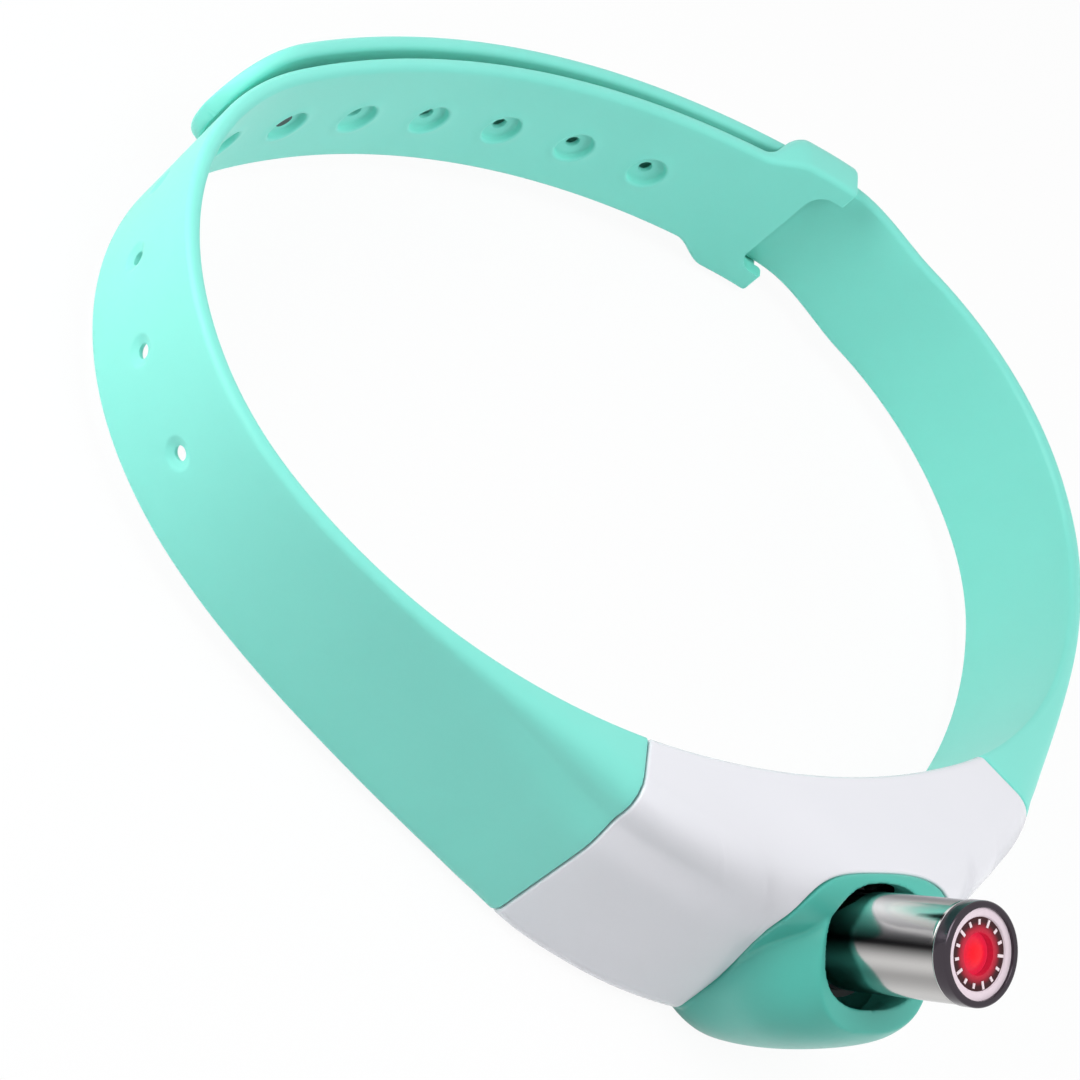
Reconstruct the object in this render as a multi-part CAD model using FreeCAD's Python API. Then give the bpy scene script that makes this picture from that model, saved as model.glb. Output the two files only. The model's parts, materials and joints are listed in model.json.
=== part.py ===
import FreeCAD, Part
import math
import os
from FreeCAD import Vector

# Cat laser collar: a silicone band in two halves joined by a tongue, a keeper loop and a stud,
# with a hard pod at the throat that holds a swinging laser.
# Frame: the origin is the centre of the neck opening, in the band's mid plane. +Z is towards the
# head of the animal, where the laser points, -Y is the throat side with the pod, +X the tongue side.
os.makedirs("parts", exist_ok=True)

# Neck opening: an oval of tangent arcs, given by radii and by the direction where each arc ends
FRONT_RADIUS = 76.9
CORNER_RADIUS = 44.8
SIDE_RADIUS = 28.8
FRONT_TURN = 12.0
CORNER_TURN = 63.4
SIDE_TURN = 158.8
FRONT_Y = -33.6

# Band
BAND_T = 1.4
BAND_EDGE_R = 0.6
BACK_HALF_W = 6.8
SIDE_HALF_W = 7.2
LAYER_GAP = 1.0
OUTER_LAYER = BAND_T + LAYER_GAP
NARROWING_START = 70.0
NARROWING_END = 120.0
WIDENING = 2.3
WIDENING_START = 66.0
WIDENING_END = 14.0

# Holes in the left band
HOLE_COUNT = 11
HOLE_PITCH = 9.0
FIRST_HOLE = 62.7
HOLE_D = 2.6
HOLE_SINK_D = 4.4
HOLE_SINK_DEPTH = 0.6
STUD_HOLE = 5
HOLE_Z = -0.7

# Keeper loop at the end of the left band. Runs are measured on the tongue's side.
KEEPER_MOUTH = 101.0
KEEPER_LENGTH = 5.5
KEEPER_FLARE = 4.8
KEEPER_LOW = -8.8
KEEPER_HIGH = 8.4
KEEPER_WALL = 0.9
KEEPER_CORNER = 2.2
SLOT_HALF_W = 7.0
LIP_CUT_BACK = 3.2
LIP_CUT_HALF_W = 6.2

# Tongue: the far end of the right band, which rises outside the left band
TONGUE_CLEARANCE = 0.3
TONGUE_RISE_START = 90.0
TONGUE_RISE_END = 100.0
TONGUE_NARROWER = 0.1
TONGUE_HINGE_BEFORE_STUD = 11.0
TONGUE_PAST_STUD = 8.0
TONGUE_JOINT_GAP = 0.06
STUD_R = 1.0
STUD_TIP_R = 0.8
STUD_TIP_OUT = 0.5
STUD_TAPER_OUT = 1.0

# Pod
POD_END_ANGLE = 32.6
POD_WALL = 1.4
POD_END_WALL = 1.2
POD_BOTTOM = -9.5
RIM_WALL = 0.8
RIM_END_WALL = 0.6
RIM_CORNER = 0.12
BACK_COVER_T = 1.4
SEAL_T = 0.5
FIT_GAP = 0.1
SEAM_GAP = 0.12
COWL_BACK_Y = -43.4
COWL_LAP = 1.4

# Fairing: how its corners grow and its top slopes as it gets deeper
SWELL_DEPTH = 5.5
TOP_SLOPE = 0.9
TOP_CROWN = 0.6
CROWN_REACH = 14.0
TOP_SWELL_R = 3.1
BOTTOM_SWELL_R = 1.4
LEAST_R = 0.5
HOLLOW_BACK = -3.0
HOLLOW_REACH = 33

# Band roots: a tab through each end wall, held by a pin
TAB_IN = 3.4
TAB_OUTER = 3.9
TAB_INNER = 2.3
TAB_HALF_H = 4.5
STRAP_PIN_R = 0.6
STRAP_PIN_HALF_L = 5.4
STRAP_PIN_IN = 2.4

# Laser line: it starts at the barrel's front face and runs back and down into the pod
LASER_TILT = 29.4
FACE = Vector(0, -53.6, 18.1)
REST_SWING = -4.0
BARREL_R = 4.1
BARREL_BORE = 3.45
BARREL_END = 24.0
BEZEL_R = 4.2
BEZEL_BORE = 3.4
BEZEL_LENGTH = 1.6
PLATE_DEPTH = 0.35
LENS_R = 1.7
LENS_DOME_R = 4.0
LENS_DOME_FRONT = 0.75
LENS_FLAT = 1.1
PLATE_RING_R = 3.0
PLATE_STEP = 0.15
MOUTH_BACK = 11.8
PIVOT_BACK = 25.0
PIVOT_R = 0.7
PIVOT_CLEARANCE = 0.12
TOP_PIN = (6.1, 9.3)
BOTTOM_PIN = (-8.95, -6.3)
PIN_HOLE_END = 0.15
TRUNNION_R = 1.5
TOP_BOSS = (8.2, 9.8)
CRADLE_R = 4.75
CRADLE_BORE = 4.15
CRADLE_FRONT = 15.5
CRADLE_BACK = 26.2
CRADLE_FLOOR = 0.8
CRADLE_BOSS = (4.6, 7.0)
CRADLE_HUB_TOP = -4.4
DIODE_R = 3.3
DIODE_FRONT = 9.0
DIODE_BACK = 21.0
DIODE_BOARD_R = 3.2
DIODE_BOARD_T = 0.8
WIRE_HOLE_R = 1.1
WIRE_UP = 1.9
WIRE_X = -2.6

# Drive: a sector on the cradle and a pinion on the motor
GEAR_MODULE = 0.4
SECTOR_TEETH = 32
PINION_TEETH = 8
GEAR_LOW = -7.6
GEAR_T = 0.8
GEAR_BACKLASH = 0.16
GEAR_ROOM_R = 7.2
GEAR_ROOM_H = 1.8
SECTOR_FIRST = -22.5
SECTOR_LAST = 33.75
MOTOR_R = 2.0
MOTOR_LOW = -6.3
MOTOR_HIGH = 1.0
MOTOR_SHAFT_R = 0.4
CLIP_WALL = 0.5
CLIP_GAP_HALF_W = 1.6
CLIP_WEB_HALF_W = 0.6
CLIP_FOOT_HALF_W = 2.4
CLIP_FOOT_T = 0.6
CLIP_INSET = (1.3, 1.4)

# Board and what sits on it
BOARD_FRONT = -36.0
BOARD_T = 0.8
BOARD_LEFT = -11.0
BOARD_RIGHT = 13.4
BOARD_HALF_H = 7.4
BOARD_SCREWS = ((-9.7, 6.1), (-9.7, -6.3), (8.2, 6.1))
USB_X = 2.9
USB_W = 8.94
USB_H = 3.16
USB_LENGTH = 5.2
USB_WALL = 0.3
USB_DEPTH = 4.6
LIGHT_X = -3.3
LIGHT_Y = -36.75
LIGHT_R = 0.6
BUTTON_X = 12.2
BUTTON_Y = -38.6
BUTTON_R = 1.7
BUTTON_TRAVEL = 0.4
BUTTON_CLEARANCE = 0.25
BUTTON_INSET = 0.1
BUTTON_FLANGE = 0.5
BUTTON_FLANGE_T = 0.4
BUTTON_STEM_R = 0.5
BUTTON_DISH_R = 4.0
BUTTON_DISH_DEPTH = 0.25

# Cell
CELL_RUN = 12.5
CELL_OUT = 3.9
CELL_T = 3.0
CELL_W = 7.8
CELL_LOW = -4.4
CELL_HIGH = 5.4
PAD_T = 0.9

# Screws of the back cover
COVER_SCREW_RUN = 16.6
COVER_SCREW_Z = 6.8
BOSS_R = 1.2
SCREW_R = 0.6
SCREW_HEAD_R = 1.1
SCREW_SEAT = 0.75
SCREW_TIP = 5.0
BOARD_POST_R = 1.3
BOARD_POST_H = 1.9
BOARD_HEAD_T = 0.6
BOARD_SCREW_GRIP = 1.4

laser_dir = Vector(0, -math.sin(math.radians(LASER_TILT)), math.cos(math.radians(LASER_TILT)))
laser_up = Vector(0, math.cos(math.radians(LASER_TILT)), math.sin(math.radians(LASER_TILT)))


def direction(turn):
    """Outward direction in plan, at a turn in degrees from the throat towards +X."""
    return Vector(math.sin(math.radians(turn)), -math.cos(math.radians(turn)), 0)


def oval_arcs():
    """The four arcs of the right half, front to back: centre, radius, first and last turn."""
    front = Vector(0, FRONT_Y + FRONT_RADIUS, 0)
    corner = front + direction(FRONT_TURN) * (FRONT_RADIUS - CORNER_RADIUS)
    side = corner + direction(CORNER_TURN) * (CORNER_RADIUS - SIDE_RADIUS)
    back_radius = SIDE_RADIUS + side.x / math.sin(math.radians(SIDE_TURN))
    back = side + direction(SIDE_TURN) * (SIDE_RADIUS - back_radius)
    return [
        (front, FRONT_RADIUS, 0.0, FRONT_TURN),
        (corner, CORNER_RADIUS, FRONT_TURN, CORNER_TURN),
        (side, SIDE_RADIUS, CORNER_TURN, SIDE_TURN),
        (back, back_radius, SIDE_TURN, 180.0),
    ]


ARCS = oval_arcs()
HALF_GIRTH = sum(radius * math.radians(last - first) for _, radius, first, last in ARCS)


def station(run):
    """Centre, radius and turn of the oval at a run along its inner face from the throat, + to +X."""
    sign = 1 if run >= 0 else -1
    left = abs(run)
    if left > HALF_GIRTH:
        return station(run - sign * 2 * HALF_GIRTH)
    for centre, radius, first, last in ARCS:
        length = radius * math.radians(last - first)
        if left <= length + 1e-9:
            turn = first + math.degrees(left / radius)
            return Vector(sign * centre.x, centre.y, 0), radius, sign * turn
        left -= length
    return Vector(ARCS[-1][0]), ARCS[-1][1], sign * 180.0


def on_band(run, out, z):
    """Point at a run round the opening, out from its inner face, at a height."""
    centre, radius, turn = station(run)
    return centre + direction(turn) * (radius + out) + Vector(0, 0, z)


def rounded_loop(corners, radii):
    """Closed wire through flat corners, each rounded with its own radius."""
    edges = []
    ends = []
    count = len(corners)
    for i in range(count):
        here = corners[i]
        to_last = (corners[i - 1] - here).normalize()
        to_next = (corners[(i + 1) % count] - here).normalize()
        half = to_last.getAngle(to_next) / 2
        reach = radii[i] / math.tan(half)
        middle = (to_last + to_next).normalize()
        nearest = here + middle * (radii[i] / math.sin(half) - radii[i])
        start = here + to_last * reach
        end = here + to_next * reach
        ends.append((start, end))
        edges.append(Part.Arc(start, nearest, end).toShape())
    loop = []
    for i in range(count):
        loop.append(edges[i])
        loop.append(Part.makeLine(ends[i][1], ends[(i + 1) % count][0]))
    return Part.Wire(loop)


def band_section(run, inner, outer, low, high, radii=(BAND_EDGE_R,) * 4, high_out=None):
    """Cross-section of the band: corners are inner low, inner high, outer high, outer low."""
    top_out = high if high_out is None else high_out
    corners = [
        on_band(run, inner, low),
        on_band(run, inner, high),
        on_band(run, outer, top_out),
        on_band(run, outer, low),
    ]
    return rounded_loop(corners, radii)


def loft(wires):
    return Part.makeLoft(wires, True, False)


def box(x0, x1, y0, y1, z0, z1):
    return Part.makeBox(x1 - x0, y1 - y0, z1 - z0, Vector(x0, y0, z0))


def rod(radius, start, end):
    along = end - start
    return Part.makeCylinder(radius, along.Length, start, along)


def on_laser(back, up=0.0, x=0.0):
    """Point at a distance behind the barrel's face, up across the laser line, and sideways."""
    return FACE - laser_dir * back + laser_up * up + Vector(x, 0, 0)


def laser_rod(radius, near, far):
    return rod(radius, on_laser(far), on_laser(near))


def bell(value, width):
    """1 at zero and 0 past width, with a smooth fall between."""
    t = min(abs(value) / width, 1.0)
    return 1 - t * t * (3 - 2 * t)


def smooth(value, start, end):
    t = min(max((value - start) / (end - start), 0.0), 1.0)
    return t * t * (3 - 2 * t)


def half_width(run):
    """Half of the band's height: it grows from the back towards the pod."""
    far = min(abs(run), 2 * HALF_GIRTH - abs(run))
    side = BACK_HALF_W + (SIDE_HALF_W - BACK_HALF_W) * (1 - smooth(far, NARROWING_START, NARROWING_END))
    return side + WIDENING * (1 - smooth(far, WIDENING_END, WIDENING_START))


# Fairing: the one outer form that the pod and both band roots share
FAIRING_RUNS = (0, 3, 6, 9, 12.5, 16, 20, 24, 28, 33, 39, 46, 54)
ROOT_FIRST_RUN = 9
BAND_FIRST_RUN = 60
FAIRING_DEPTH = (13.4, 13.35, 13.15, 12.6, 11.7, 10.5, 8.9, 6.8, 4.8, 3.1, 1.9, BAND_T, BAND_T)


def fairing_section(run, depth, inset, back):
    """One section of the fairing, drawn in by inset, with its neck side at back."""
    swell = min(max((depth - BAND_T) / SWELL_DEPTH, 0.0), 1.0)
    high = half_width(run) - inset
    low = -half_width(run) + inset
    high_out = high + TOP_SLOPE * swell + TOP_CROWN * bell(run, CROWN_REACH)
    top_radius = max(BAND_EDGE_R + TOP_SWELL_R * swell - inset, LEAST_R)
    bottom_radius = max(BAND_EDGE_R + BOTTOM_SWELL_R * swell - inset, LEAST_R)
    inner_radius = BAND_EDGE_R if back == 0 else LEAST_R
    radii = (inner_radius, inner_radius, top_radius, bottom_radius)
    return band_section(run, back, depth - inset, low, high, radii, high_out)


def fairing(inset=0.0, back=0.0, reach=FAIRING_RUNS[-1]):
    """The fairing as a solid, up to a run on both sides."""
    pairs = [(run, depth) for run, depth in zip(FAIRING_RUNS, FAIRING_DEPTH) if run <= reach]
    wires = [fairing_section(-run, depth, inset, back) for run, depth in reversed(pairs[1:])]
    wires += [fairing_section(run, depth, inset, back) for run, depth in pairs]
    return loft(wires)


def pod_wedge(inset):
    """The space between the pod's two end planes, drawn in by inset."""
    size = 80.0
    half = 40.0
    left = direction(-POD_END_ANGLE)
    right = direction(POD_END_ANGLE)
    slip = inset / math.sin(math.radians(POD_END_ANGLE))
    tip = Vector(0, -slip, -half)
    corners = [tip, tip + left * size, tip + right * size]
    return Part.Face(Part.makePolygon(corners + [tip])).extrude(Vector(0, 0, 2 * half))


# Rows of both forms below: distance behind the face, half width, lowest and highest reach.
# Nose: the cowl's outer form round the barrel, which flares from its mouth towards the cover.
NOSE_ROWS = (
    (MOUTH_BACK, 6.5, -7.3, 5.35),
    (12.6, 6.9, -7.8, 5.4),
    (14.5, 7.9, -8.5, 5.4),
    (17.5, 8.6, -9.1, 5.4),
    (21.5, 7.9, -9.5, 5.4),
    (25.0, 7.6, -9.5, 5.3),
    (30.0, 7.4, -8.4, 5.0),
)
NOSE_EGG = 0.08
NOSE_POWER = 2.5

# Hollow of the cowl, where the barrel swings
SPACE_ROWS = (
    (MOUTH_BACK - 3.0, 5.9, -6.6, 4.7),
    (MOUTH_BACK, 5.9, -6.6, 4.7),
    (16.0, 6.0, -7.3, 4.7),
    (20.0, 6.1, -7.9, 4.8),
    (25.0, 6.1, -8.0, 4.9),
    (31.0, 6.1, -7.4, 4.9),
)

# Cut-out of the cover, which the cowl fills: an arch that is open at the bottom
ARCH_ROWS = (
    (4.0, 9.7, -11.5, 5.5),
    (12.0, 9.9, -11.5, 5.5),
    (14.0, 10.0, -11.5, 5.5),
    (17.0, 9.3, -11.5, 5.5),
    (21.5, 8.0, -11.5, 5.5),
    (26.0, 7.6, -11.5, 5.5),
    (40.0, 7.5, -11.5, 5.5),
)
ARCH_POWER = 3.1


def tube_section(back, half_w, low, high, power, egg=0.0):
    """A rounded section across the laser line, with egg a little narrower at its top."""
    points = []
    count = 28
    middle = (low + high) / 2
    for i in range(count):
        angle = 2 * math.pi * i / count - math.pi / 2
        c = math.cos(angle)
        s = math.sin(angle)
        across = math.copysign(abs(c) ** (2 / power), c)
        up = math.copysign(abs(s) ** (2 / power), s)
        x = half_w * across * (1 - egg * up)
        points.append(on_laser(back, middle + (high - low) / 2 * up, x))
    curve = Part.BSplineCurve()
    curve.interpolate(points, PeriodicFlag=True)
    return Part.Wire(curve.toShape())


def tube_form(rows, power, egg=0.0, grow=0.0):
    return loft([
        tube_section(back, half_w + grow, low - grow, high + grow, power, egg)
        for back, half_w, low, high in rows
    ])


def fuse(*shapes):
    whole = shapes[0]
    for shape in shapes[1:]:
        whole = whole.fuse(shape)
    merged = whole.removeSplitter()
    same = merged.isValid() and abs(merged.Volume - whole.Volume) < 1e-3 * whole.Volume
    return merged if same else whole


def turned(shape, angle, centre, axis=Vector(0, 0, 1)):
    """A copy turned about an axis."""
    copy = shape.copy()
    copy.rotate(centre, axis, angle)
    return copy


def at_rest(shape):
    """A piece of the laser head, drawn straight ahead, swung to where it rests."""
    return turned(shape, REST_SWING, PIVOT)


def frame_at(run):
    """Point on the inner face, outward direction and direction of growing run."""
    centre, radius, turn = station(run)
    out = direction(turn)
    return centre + out * radius, out, Vector(-out.y, out.x, 0)


def block_at(run, first, last, inner, outer, low, high):
    """A block square to the band at a run: along it, out from its inner face, and in height."""
    origin, out, along = frame_at(run)
    corner = origin + along * first + out * inner + Vector(0, 0, low)
    outline = [
        corner,
        corner + along * (last - first),
        corner + along * (last - first) + out * (outer - inner),
        corner + out * (outer - inner),
        corner,
    ]
    return Part.Face(Part.makePolygon(outline)).extrude(Vector(0, 0, high - low))


def peg_at(run, radius, inner, outer, z):
    return rod(radius, on_band(run, inner, z), on_band(run, outer, z))


def run_at_angle(angle):
    """Run where a radial plane at an angle from the throat crosses the inner face."""
    low = 0.0
    high = HALF_GIRTH
    while high - low > 1e-4:
        middle = (low + high) / 2
        point = on_band(middle, 0, 0)
        if math.degrees(math.atan2(point.x, -point.y)) < angle:
            low = middle
        else:
            high = middle
    return low


def wire_tube(points, radius, bend):
    """A thin wire through points, straight runs joined by tangent arcs."""
    edges = []
    last = points[0]
    for i in range(1, len(points) - 1):
        here = points[i]
        back = (points[i - 1] - here).normalize()
        ahead = (points[i + 1] - here).normalize()
        half = back.getAngle(ahead) / 2
        reach = bend / math.tan(half)
        middle = (back + ahead).normalize()
        start = here + back * reach
        end = here + ahead * reach
        edges.append(Part.makeLine(last, start))
        edges.append(Part.Arc(start, here + middle * (bend / math.sin(half) - bend), end).toShape())
        last = end
    edges.append(Part.makeLine(last, points[-1]))
    path = Part.Wire(edges)
    ring = Part.Wire(Part.makeCircle(radius, points[0], points[1] - points[0]))
    return path.makePipeShell([ring], True, True)


def save(name, *solids):
    """Write one node, and keep it for the printed list."""
    pieces = [solid for shape in solids for solid in shape.Solids]
    shape = pieces[0] if len(pieces) == 1 else Part.makeCompound(pieces)
    shape.exportStep("parts/" + name + ".step")
    made[name] = shape


made = {}
PIVOT = on_laser(PIVOT_BACK)
END_RUN = run_at_angle(POD_END_ANGLE)
outer_form = fairing()
inner_form = fairing(inset=POD_WALL, back=HOLLOW_BACK, reach=HOLLOW_REACH)
nose_form = tube_form(NOSE_ROWS, NOSE_POWER, NOSE_EGG)
swing_space = tube_form(SPACE_ROWS, NOSE_POWER).cut(
    box(-20, 20, -70, -30, POD_BOTTOM - 5, POD_BOTTOM + POD_WALL))


# Pod hollow: the main space, and the wider pocket at the neck side that takes the back cover
def slab(inner, outer, inset, corner=RIM_CORNER):
    """A curved slab at the neck side of the pod."""
    wires = []
    for run in range(-30, 31, 10):
        half = half_width(run) - inset
        wires.append(band_section(run, inner, outer, -half, half, (corner,) * 4))
    return loft(wires)


rim_pocket = slab(HOLLOW_BACK, BACK_COVER_T + SEAL_T, RIM_WALL).common(pod_wedge(RIM_END_WALL))
pod_hollow = inner_form.common(pod_wedge(POD_END_WALL))


# Band roots and the parts that hold them
def root_tab(side, grow=0.0):
    first, last = (-TAB_IN - grow, 2.0) if side > 0 else (-2.0, TAB_IN + grow)
    return block_at(side * END_RUN, first, last, TAB_INNER - grow, TAB_OUTER + grow,
                    -TAB_HALF_H - grow, TAB_HALF_H + grow)


def strap_pin(side, grow=0.0):
    origin, out, along = frame_at(side * END_RUN)
    middle = origin - along * (side * STRAP_PIN_IN) + out * ((TAB_INNER + TAB_OUTER) / 2)
    reach = Vector(0, 0, STRAP_PIN_HALF_L)
    return rod(STRAP_PIN_R + grow, middle - reach, middle + reach)


save("strap_pins", strap_pin(-1), strap_pin(1))


# Front cover: a shell over the fairing between the end planes, open towards the neck
def cover_screw_places():
    return [(side * COVER_SCREW_RUN, level * COVER_SCREW_Z) for side in (-1, 1) for level in (-1, 1)]


def button_rod(radius, low, high):
    return rod(radius, Vector(BUTTON_X, BUTTON_Y, low), Vector(BUTTON_X, BUTTON_Y, high))


def pivot_rod(radius, low, high):
    return rod(radius, Vector(0, PIVOT.y, low), Vector(0, PIVOT.y, high))


def pin_room(pin):
    """The hole that a pivot pin turns in, a little longer than the pin at both ends."""
    low, high = pin
    return pivot_rod(PIVOT_R + PIVOT_CLEARANCE, low - PIN_HOLE_END, high + PIN_HOLE_END)


def front_cover():
    solid = outer_form.common(pod_wedge(0.0))
    shell = solid.cut(pod_hollow).cut(rim_pocket)
    bosses = [peg_at(run, BOSS_R, BACK_COVER_T, 9.0, z) for run, z in cover_screw_places()]
    top_boss = pivot_rod(TRUNNION_R, *TOP_BOSS)
    shell = fuse(shell, *[boss.common(solid) for boss in bosses + [top_boss]])
    shell = shell.cut(tube_form(ARCH_ROWS, ARCH_POWER, grow=SEAM_GAP))
    for run, z in cover_screw_places():
        shell = shell.cut(peg_at(run, SCREW_R, 1.0, SCREW_TIP + 0.4, z))
    shell = shell.cut(pin_room(TOP_PIN))
    shell = shell.cut(button_rod(BUTTON_R + BUTTON_CLEARANCE, -12, -7))
    for side in (-1, 1):
        shell = shell.cut(root_tab(side, FIT_GAP))
    return shell


save("front_cover", front_cover())


# Nose cowl: fills the cover's arch, carries the floor, and comes out as a scoop round the barrel
def usb_space(grow):
    """The socket's outline, with round ends, from below the floor up."""
    radius = USB_H / 2 + grow
    half = (USB_W - USB_H) / 2
    y = BOARD_FRONT - USB_H / 2
    low = POD_BOTTOM - 3
    left = USB_X - half
    right = USB_X + half
    front_left = Vector(left, y - radius, low)
    front_right = Vector(right, y - radius, low)
    back_right = Vector(right, y + radius, low)
    back_left = Vector(left, y + radius, low)
    outline = Part.Wire([
        Part.makeLine(front_left, front_right),
        Part.Arc(front_right, Vector(right + radius, y, low), back_right).toShape(),
        Part.makeLine(back_right, back_left),
        Part.Arc(back_left, Vector(left - radius, y, low), front_left).toShape(),
    ])
    return Part.Face(outline).extrude(Vector(0, 0, USB_LENGTH + 3))


def nose_cowl():
    panel = tube_form(ARCH_ROWS, ARCH_POWER).common(outer_form)
    scoop = nose_form.common(box(-14, 14, -70, COWL_BACK_Y + COWL_LAP, POD_BOTTOM, 20))
    behind = box(-40, 40, COWL_BACK_Y, 0, -20, 20)
    cowl = panel.fuse(scoop).cut(pod_hollow.common(behind)).cut(rim_pocket).cut(swing_space)
    gear_low = POD_BOTTOM + POD_WALL
    gear_room = pivot_rod(GEAR_ROOM_R, gear_low, gear_low + GEAR_ROOM_H)
    cowl = cowl.cut(gear_room.common(box(-20, -2, -70, -30, -20, 0)))
    cowl = cowl.cut(usb_space(SEAM_GAP))
    for pin in (BOTTOM_PIN, TOP_PIN):
        cowl = cowl.cut(pin_room(pin))
    cowl = cowl.cut(rod(LIGHT_R, Vector(LIGHT_X, LIGHT_Y, -12), Vector(LIGHT_X, LIGHT_Y, -7)))
    return max(cowl.Solids, key=lambda solid: solid.Volume)


save("nose_cowl", nose_cowl())


# Back cover with its screws and seal, against the neck
def board_screw_hole(x, z, radius, back, front):
    return rod(radius, Vector(x, back, z), Vector(x, front, z))


def back_cover():
    plate = slab(0.0, BACK_COVER_T, RIM_WALL + FIT_GAP).common(pod_wedge(RIM_END_WALL + FIT_GAP))
    board_back = BOARD_FRONT + BOARD_T
    posts = [board_screw_hole(x, z, BOARD_POST_R, board_back + BOARD_POST_H, board_back)
             for x, z in BOARD_SCREWS]
    plate = fuse(plate, *posts)
    for x, z in BOARD_SCREWS:
        plate = plate.cut(board_screw_hole(x, z, SCREW_R, board_back + BOARD_SCREW_GRIP + 0.2, board_back - 0.1))
    for run, z in cover_screw_places():
        plate = plate.cut(peg_at(run, SCREW_R + FIT_GAP, -0.5, 2.0, z))
        plate = plate.cut(peg_at(run, SCREW_HEAD_R + FIT_GAP, -0.5, SCREW_SEAT, z))
    return plate


def cover_screw(run, z):
    head = peg_at(run, SCREW_HEAD_R, 0.1, SCREW_SEAT, z)
    slot = block_at(run, -SCREW_HEAD_R, SCREW_HEAD_R, 0.0, 0.4, z - 0.15, z + 0.15)
    return fuse(head, peg_at(run, SCREW_R, SCREW_SEAT, SCREW_TIP, z)).cut(slot)


def pod_seal():
    outside = slab(BACK_COVER_T, BACK_COVER_T + SEAL_T - 0.02, RIM_WALL + FIT_GAP)
    outside = outside.common(pod_wedge(RIM_END_WALL + FIT_GAP))
    inside = slab(0.0, BACK_COVER_T + 2 * SEAL_T, POD_WALL).common(pod_wedge(POD_END_WALL))
    return outside.cut(inside)


save("back_cover", back_cover())
save("back_cover_screws", *[cover_screw(run, z) for run, z in cover_screw_places()])
save("pod_seal", pod_seal())


# Circuit board and what is soldered to it
def board_box(x0, x1, z0, z1, height):
    """A part on the board's front face."""
    return box(x0, x1, BOARD_FRONT - height, BOARD_FRONT, z0, z1)


def circuit_board():
    board = box(BOARD_LEFT, BOARD_RIGHT, BOARD_FRONT, BOARD_FRONT + BOARD_T, -BOARD_HALF_H, BOARD_HALF_H)
    for x, z in BOARD_SCREWS:
        board = board.cut(board_screw_hole(x, z, SCREW_R + 0.05, BOARD_FRONT + 2, BOARD_FRONT - 1))
    return board


def board_screw(x, z):
    head = board_screw_hole(x, z, SCREW_HEAD_R, BOARD_FRONT, BOARD_FRONT - BOARD_HEAD_T)
    return fuse(head, board_screw_hole(x, z, SCREW_R, BOARD_FRONT + BOARD_T + BOARD_SCREW_GRIP, BOARD_FRONT))


def usb_socket():
    shell = usb_space(0.0).common(box(-20, 20, -60, -30, POD_BOTTOM, 0))
    y = BOARD_FRONT - USB_H / 2
    hollow = usb_space(-USB_WALL).common(box(-20, 20, -60, -30, POD_BOTTOM - 2, POD_BOTTOM + USB_DEPTH))
    tongue = box(USB_X - 3.3, USB_X + 3.3, y - 0.35, y + 0.35, POD_BOTTOM + 0.7, POD_BOTTOM + USB_DEPTH + 0.2)
    return fuse(shell.cut(hollow), tongue)


save("circuit_board", circuit_board())
save("board_screws", *[board_screw(x, z) for x, z in BOARD_SCREWS])
save("usb_socket", usb_socket())
save("controller_chip", board_box(1.5, 6.5, 0.5, 5.5, 0.9))
save("board_parts",
     board_box(-4.6, -3.0, 3.4, 4.2, 0.6), board_box(-4.6, -3.0, 1.8, 2.6, 0.6),
     board_box(-1.6, -0.4, 4.6, 7.0, 0.8), board_box(-1.6, -0.4, 1.6, 3.4, 0.6))


# Status light and the clear pipe that takes it down to the underside
save("status_led", board_box(LIGHT_X - 0.8, LIGHT_X + 0.8, -6.5, -5.85, 1.2))
save("light_pipe", rod(LIGHT_R, Vector(LIGHT_X, LIGHT_Y, POD_BOTTOM + 0.05),
                       Vector(LIGHT_X, LIGHT_Y, -6.5)))


# Button and its switch: the cap stays a little above the underside, so that lying down doesn't press it
def button_cap():
    low = POD_BOTTOM + BUTTON_INSET
    flange = POD_BOTTOM + POD_WALL + FIT_GAP
    cap = button_rod(BUTTON_R, low, flange + BUTTON_FLANGE_T)
    ring = button_rod(BUTTON_R + BUTTON_FLANGE, flange, flange + BUTTON_FLANGE_T)
    stem = button_rod(BUTTON_STEM_R, flange, flange + BUTTON_FLANGE_T + 0.5)
    dish = Part.makeSphere(BUTTON_DISH_R, Vector(BUTTON_X, BUTTON_Y, low - BUTTON_DISH_R + BUTTON_DISH_DEPTH))
    return fuse(cap, ring, stem).cut(dish)


save("button_cap", button_cap())
SWITCH_LOW = POD_BOTTOM + POD_WALL + 1.0 + BUTTON_TRAVEL + 0.15
save("button_switch", board_box(BUTTON_X - 1.2, BUTTON_X + 1.2, SWITCH_LOW, SWITCH_LOW + 1.5, 3.2))


# Cell with the foam pad between it and the cover
save("battery_cell", block_at(CELL_RUN, -CELL_W / 2, CELL_W / 2, CELL_OUT, CELL_OUT + CELL_T,
                              CELL_LOW, CELL_HIGH))
save("battery_pad", block_at(CELL_RUN, -CELL_W / 2 + 0.6, 1.0, CELL_OUT + CELL_T,
                             CELL_OUT + CELL_T + PAD_T, CELL_LOW + 1, CELL_HIGH - 1))


# Laser head: everything on the swinging barrel
def ring_profile(radii_and_backs):
    """A turned piece about the laser line, from its half outline."""
    points = [on_laser(back, radius) for radius, back in radii_and_backs]
    face = Part.Face(Part.makePolygon(points + [points[0]]))
    return face.revolve(FACE, laser_dir, 360)


def laser_barrel():
    return laser_rod(BARREL_R, BEZEL_LENGTH, BARREL_END).cut(laser_rod(BARREL_BORE, 0, BARREL_END + 1))


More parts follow.
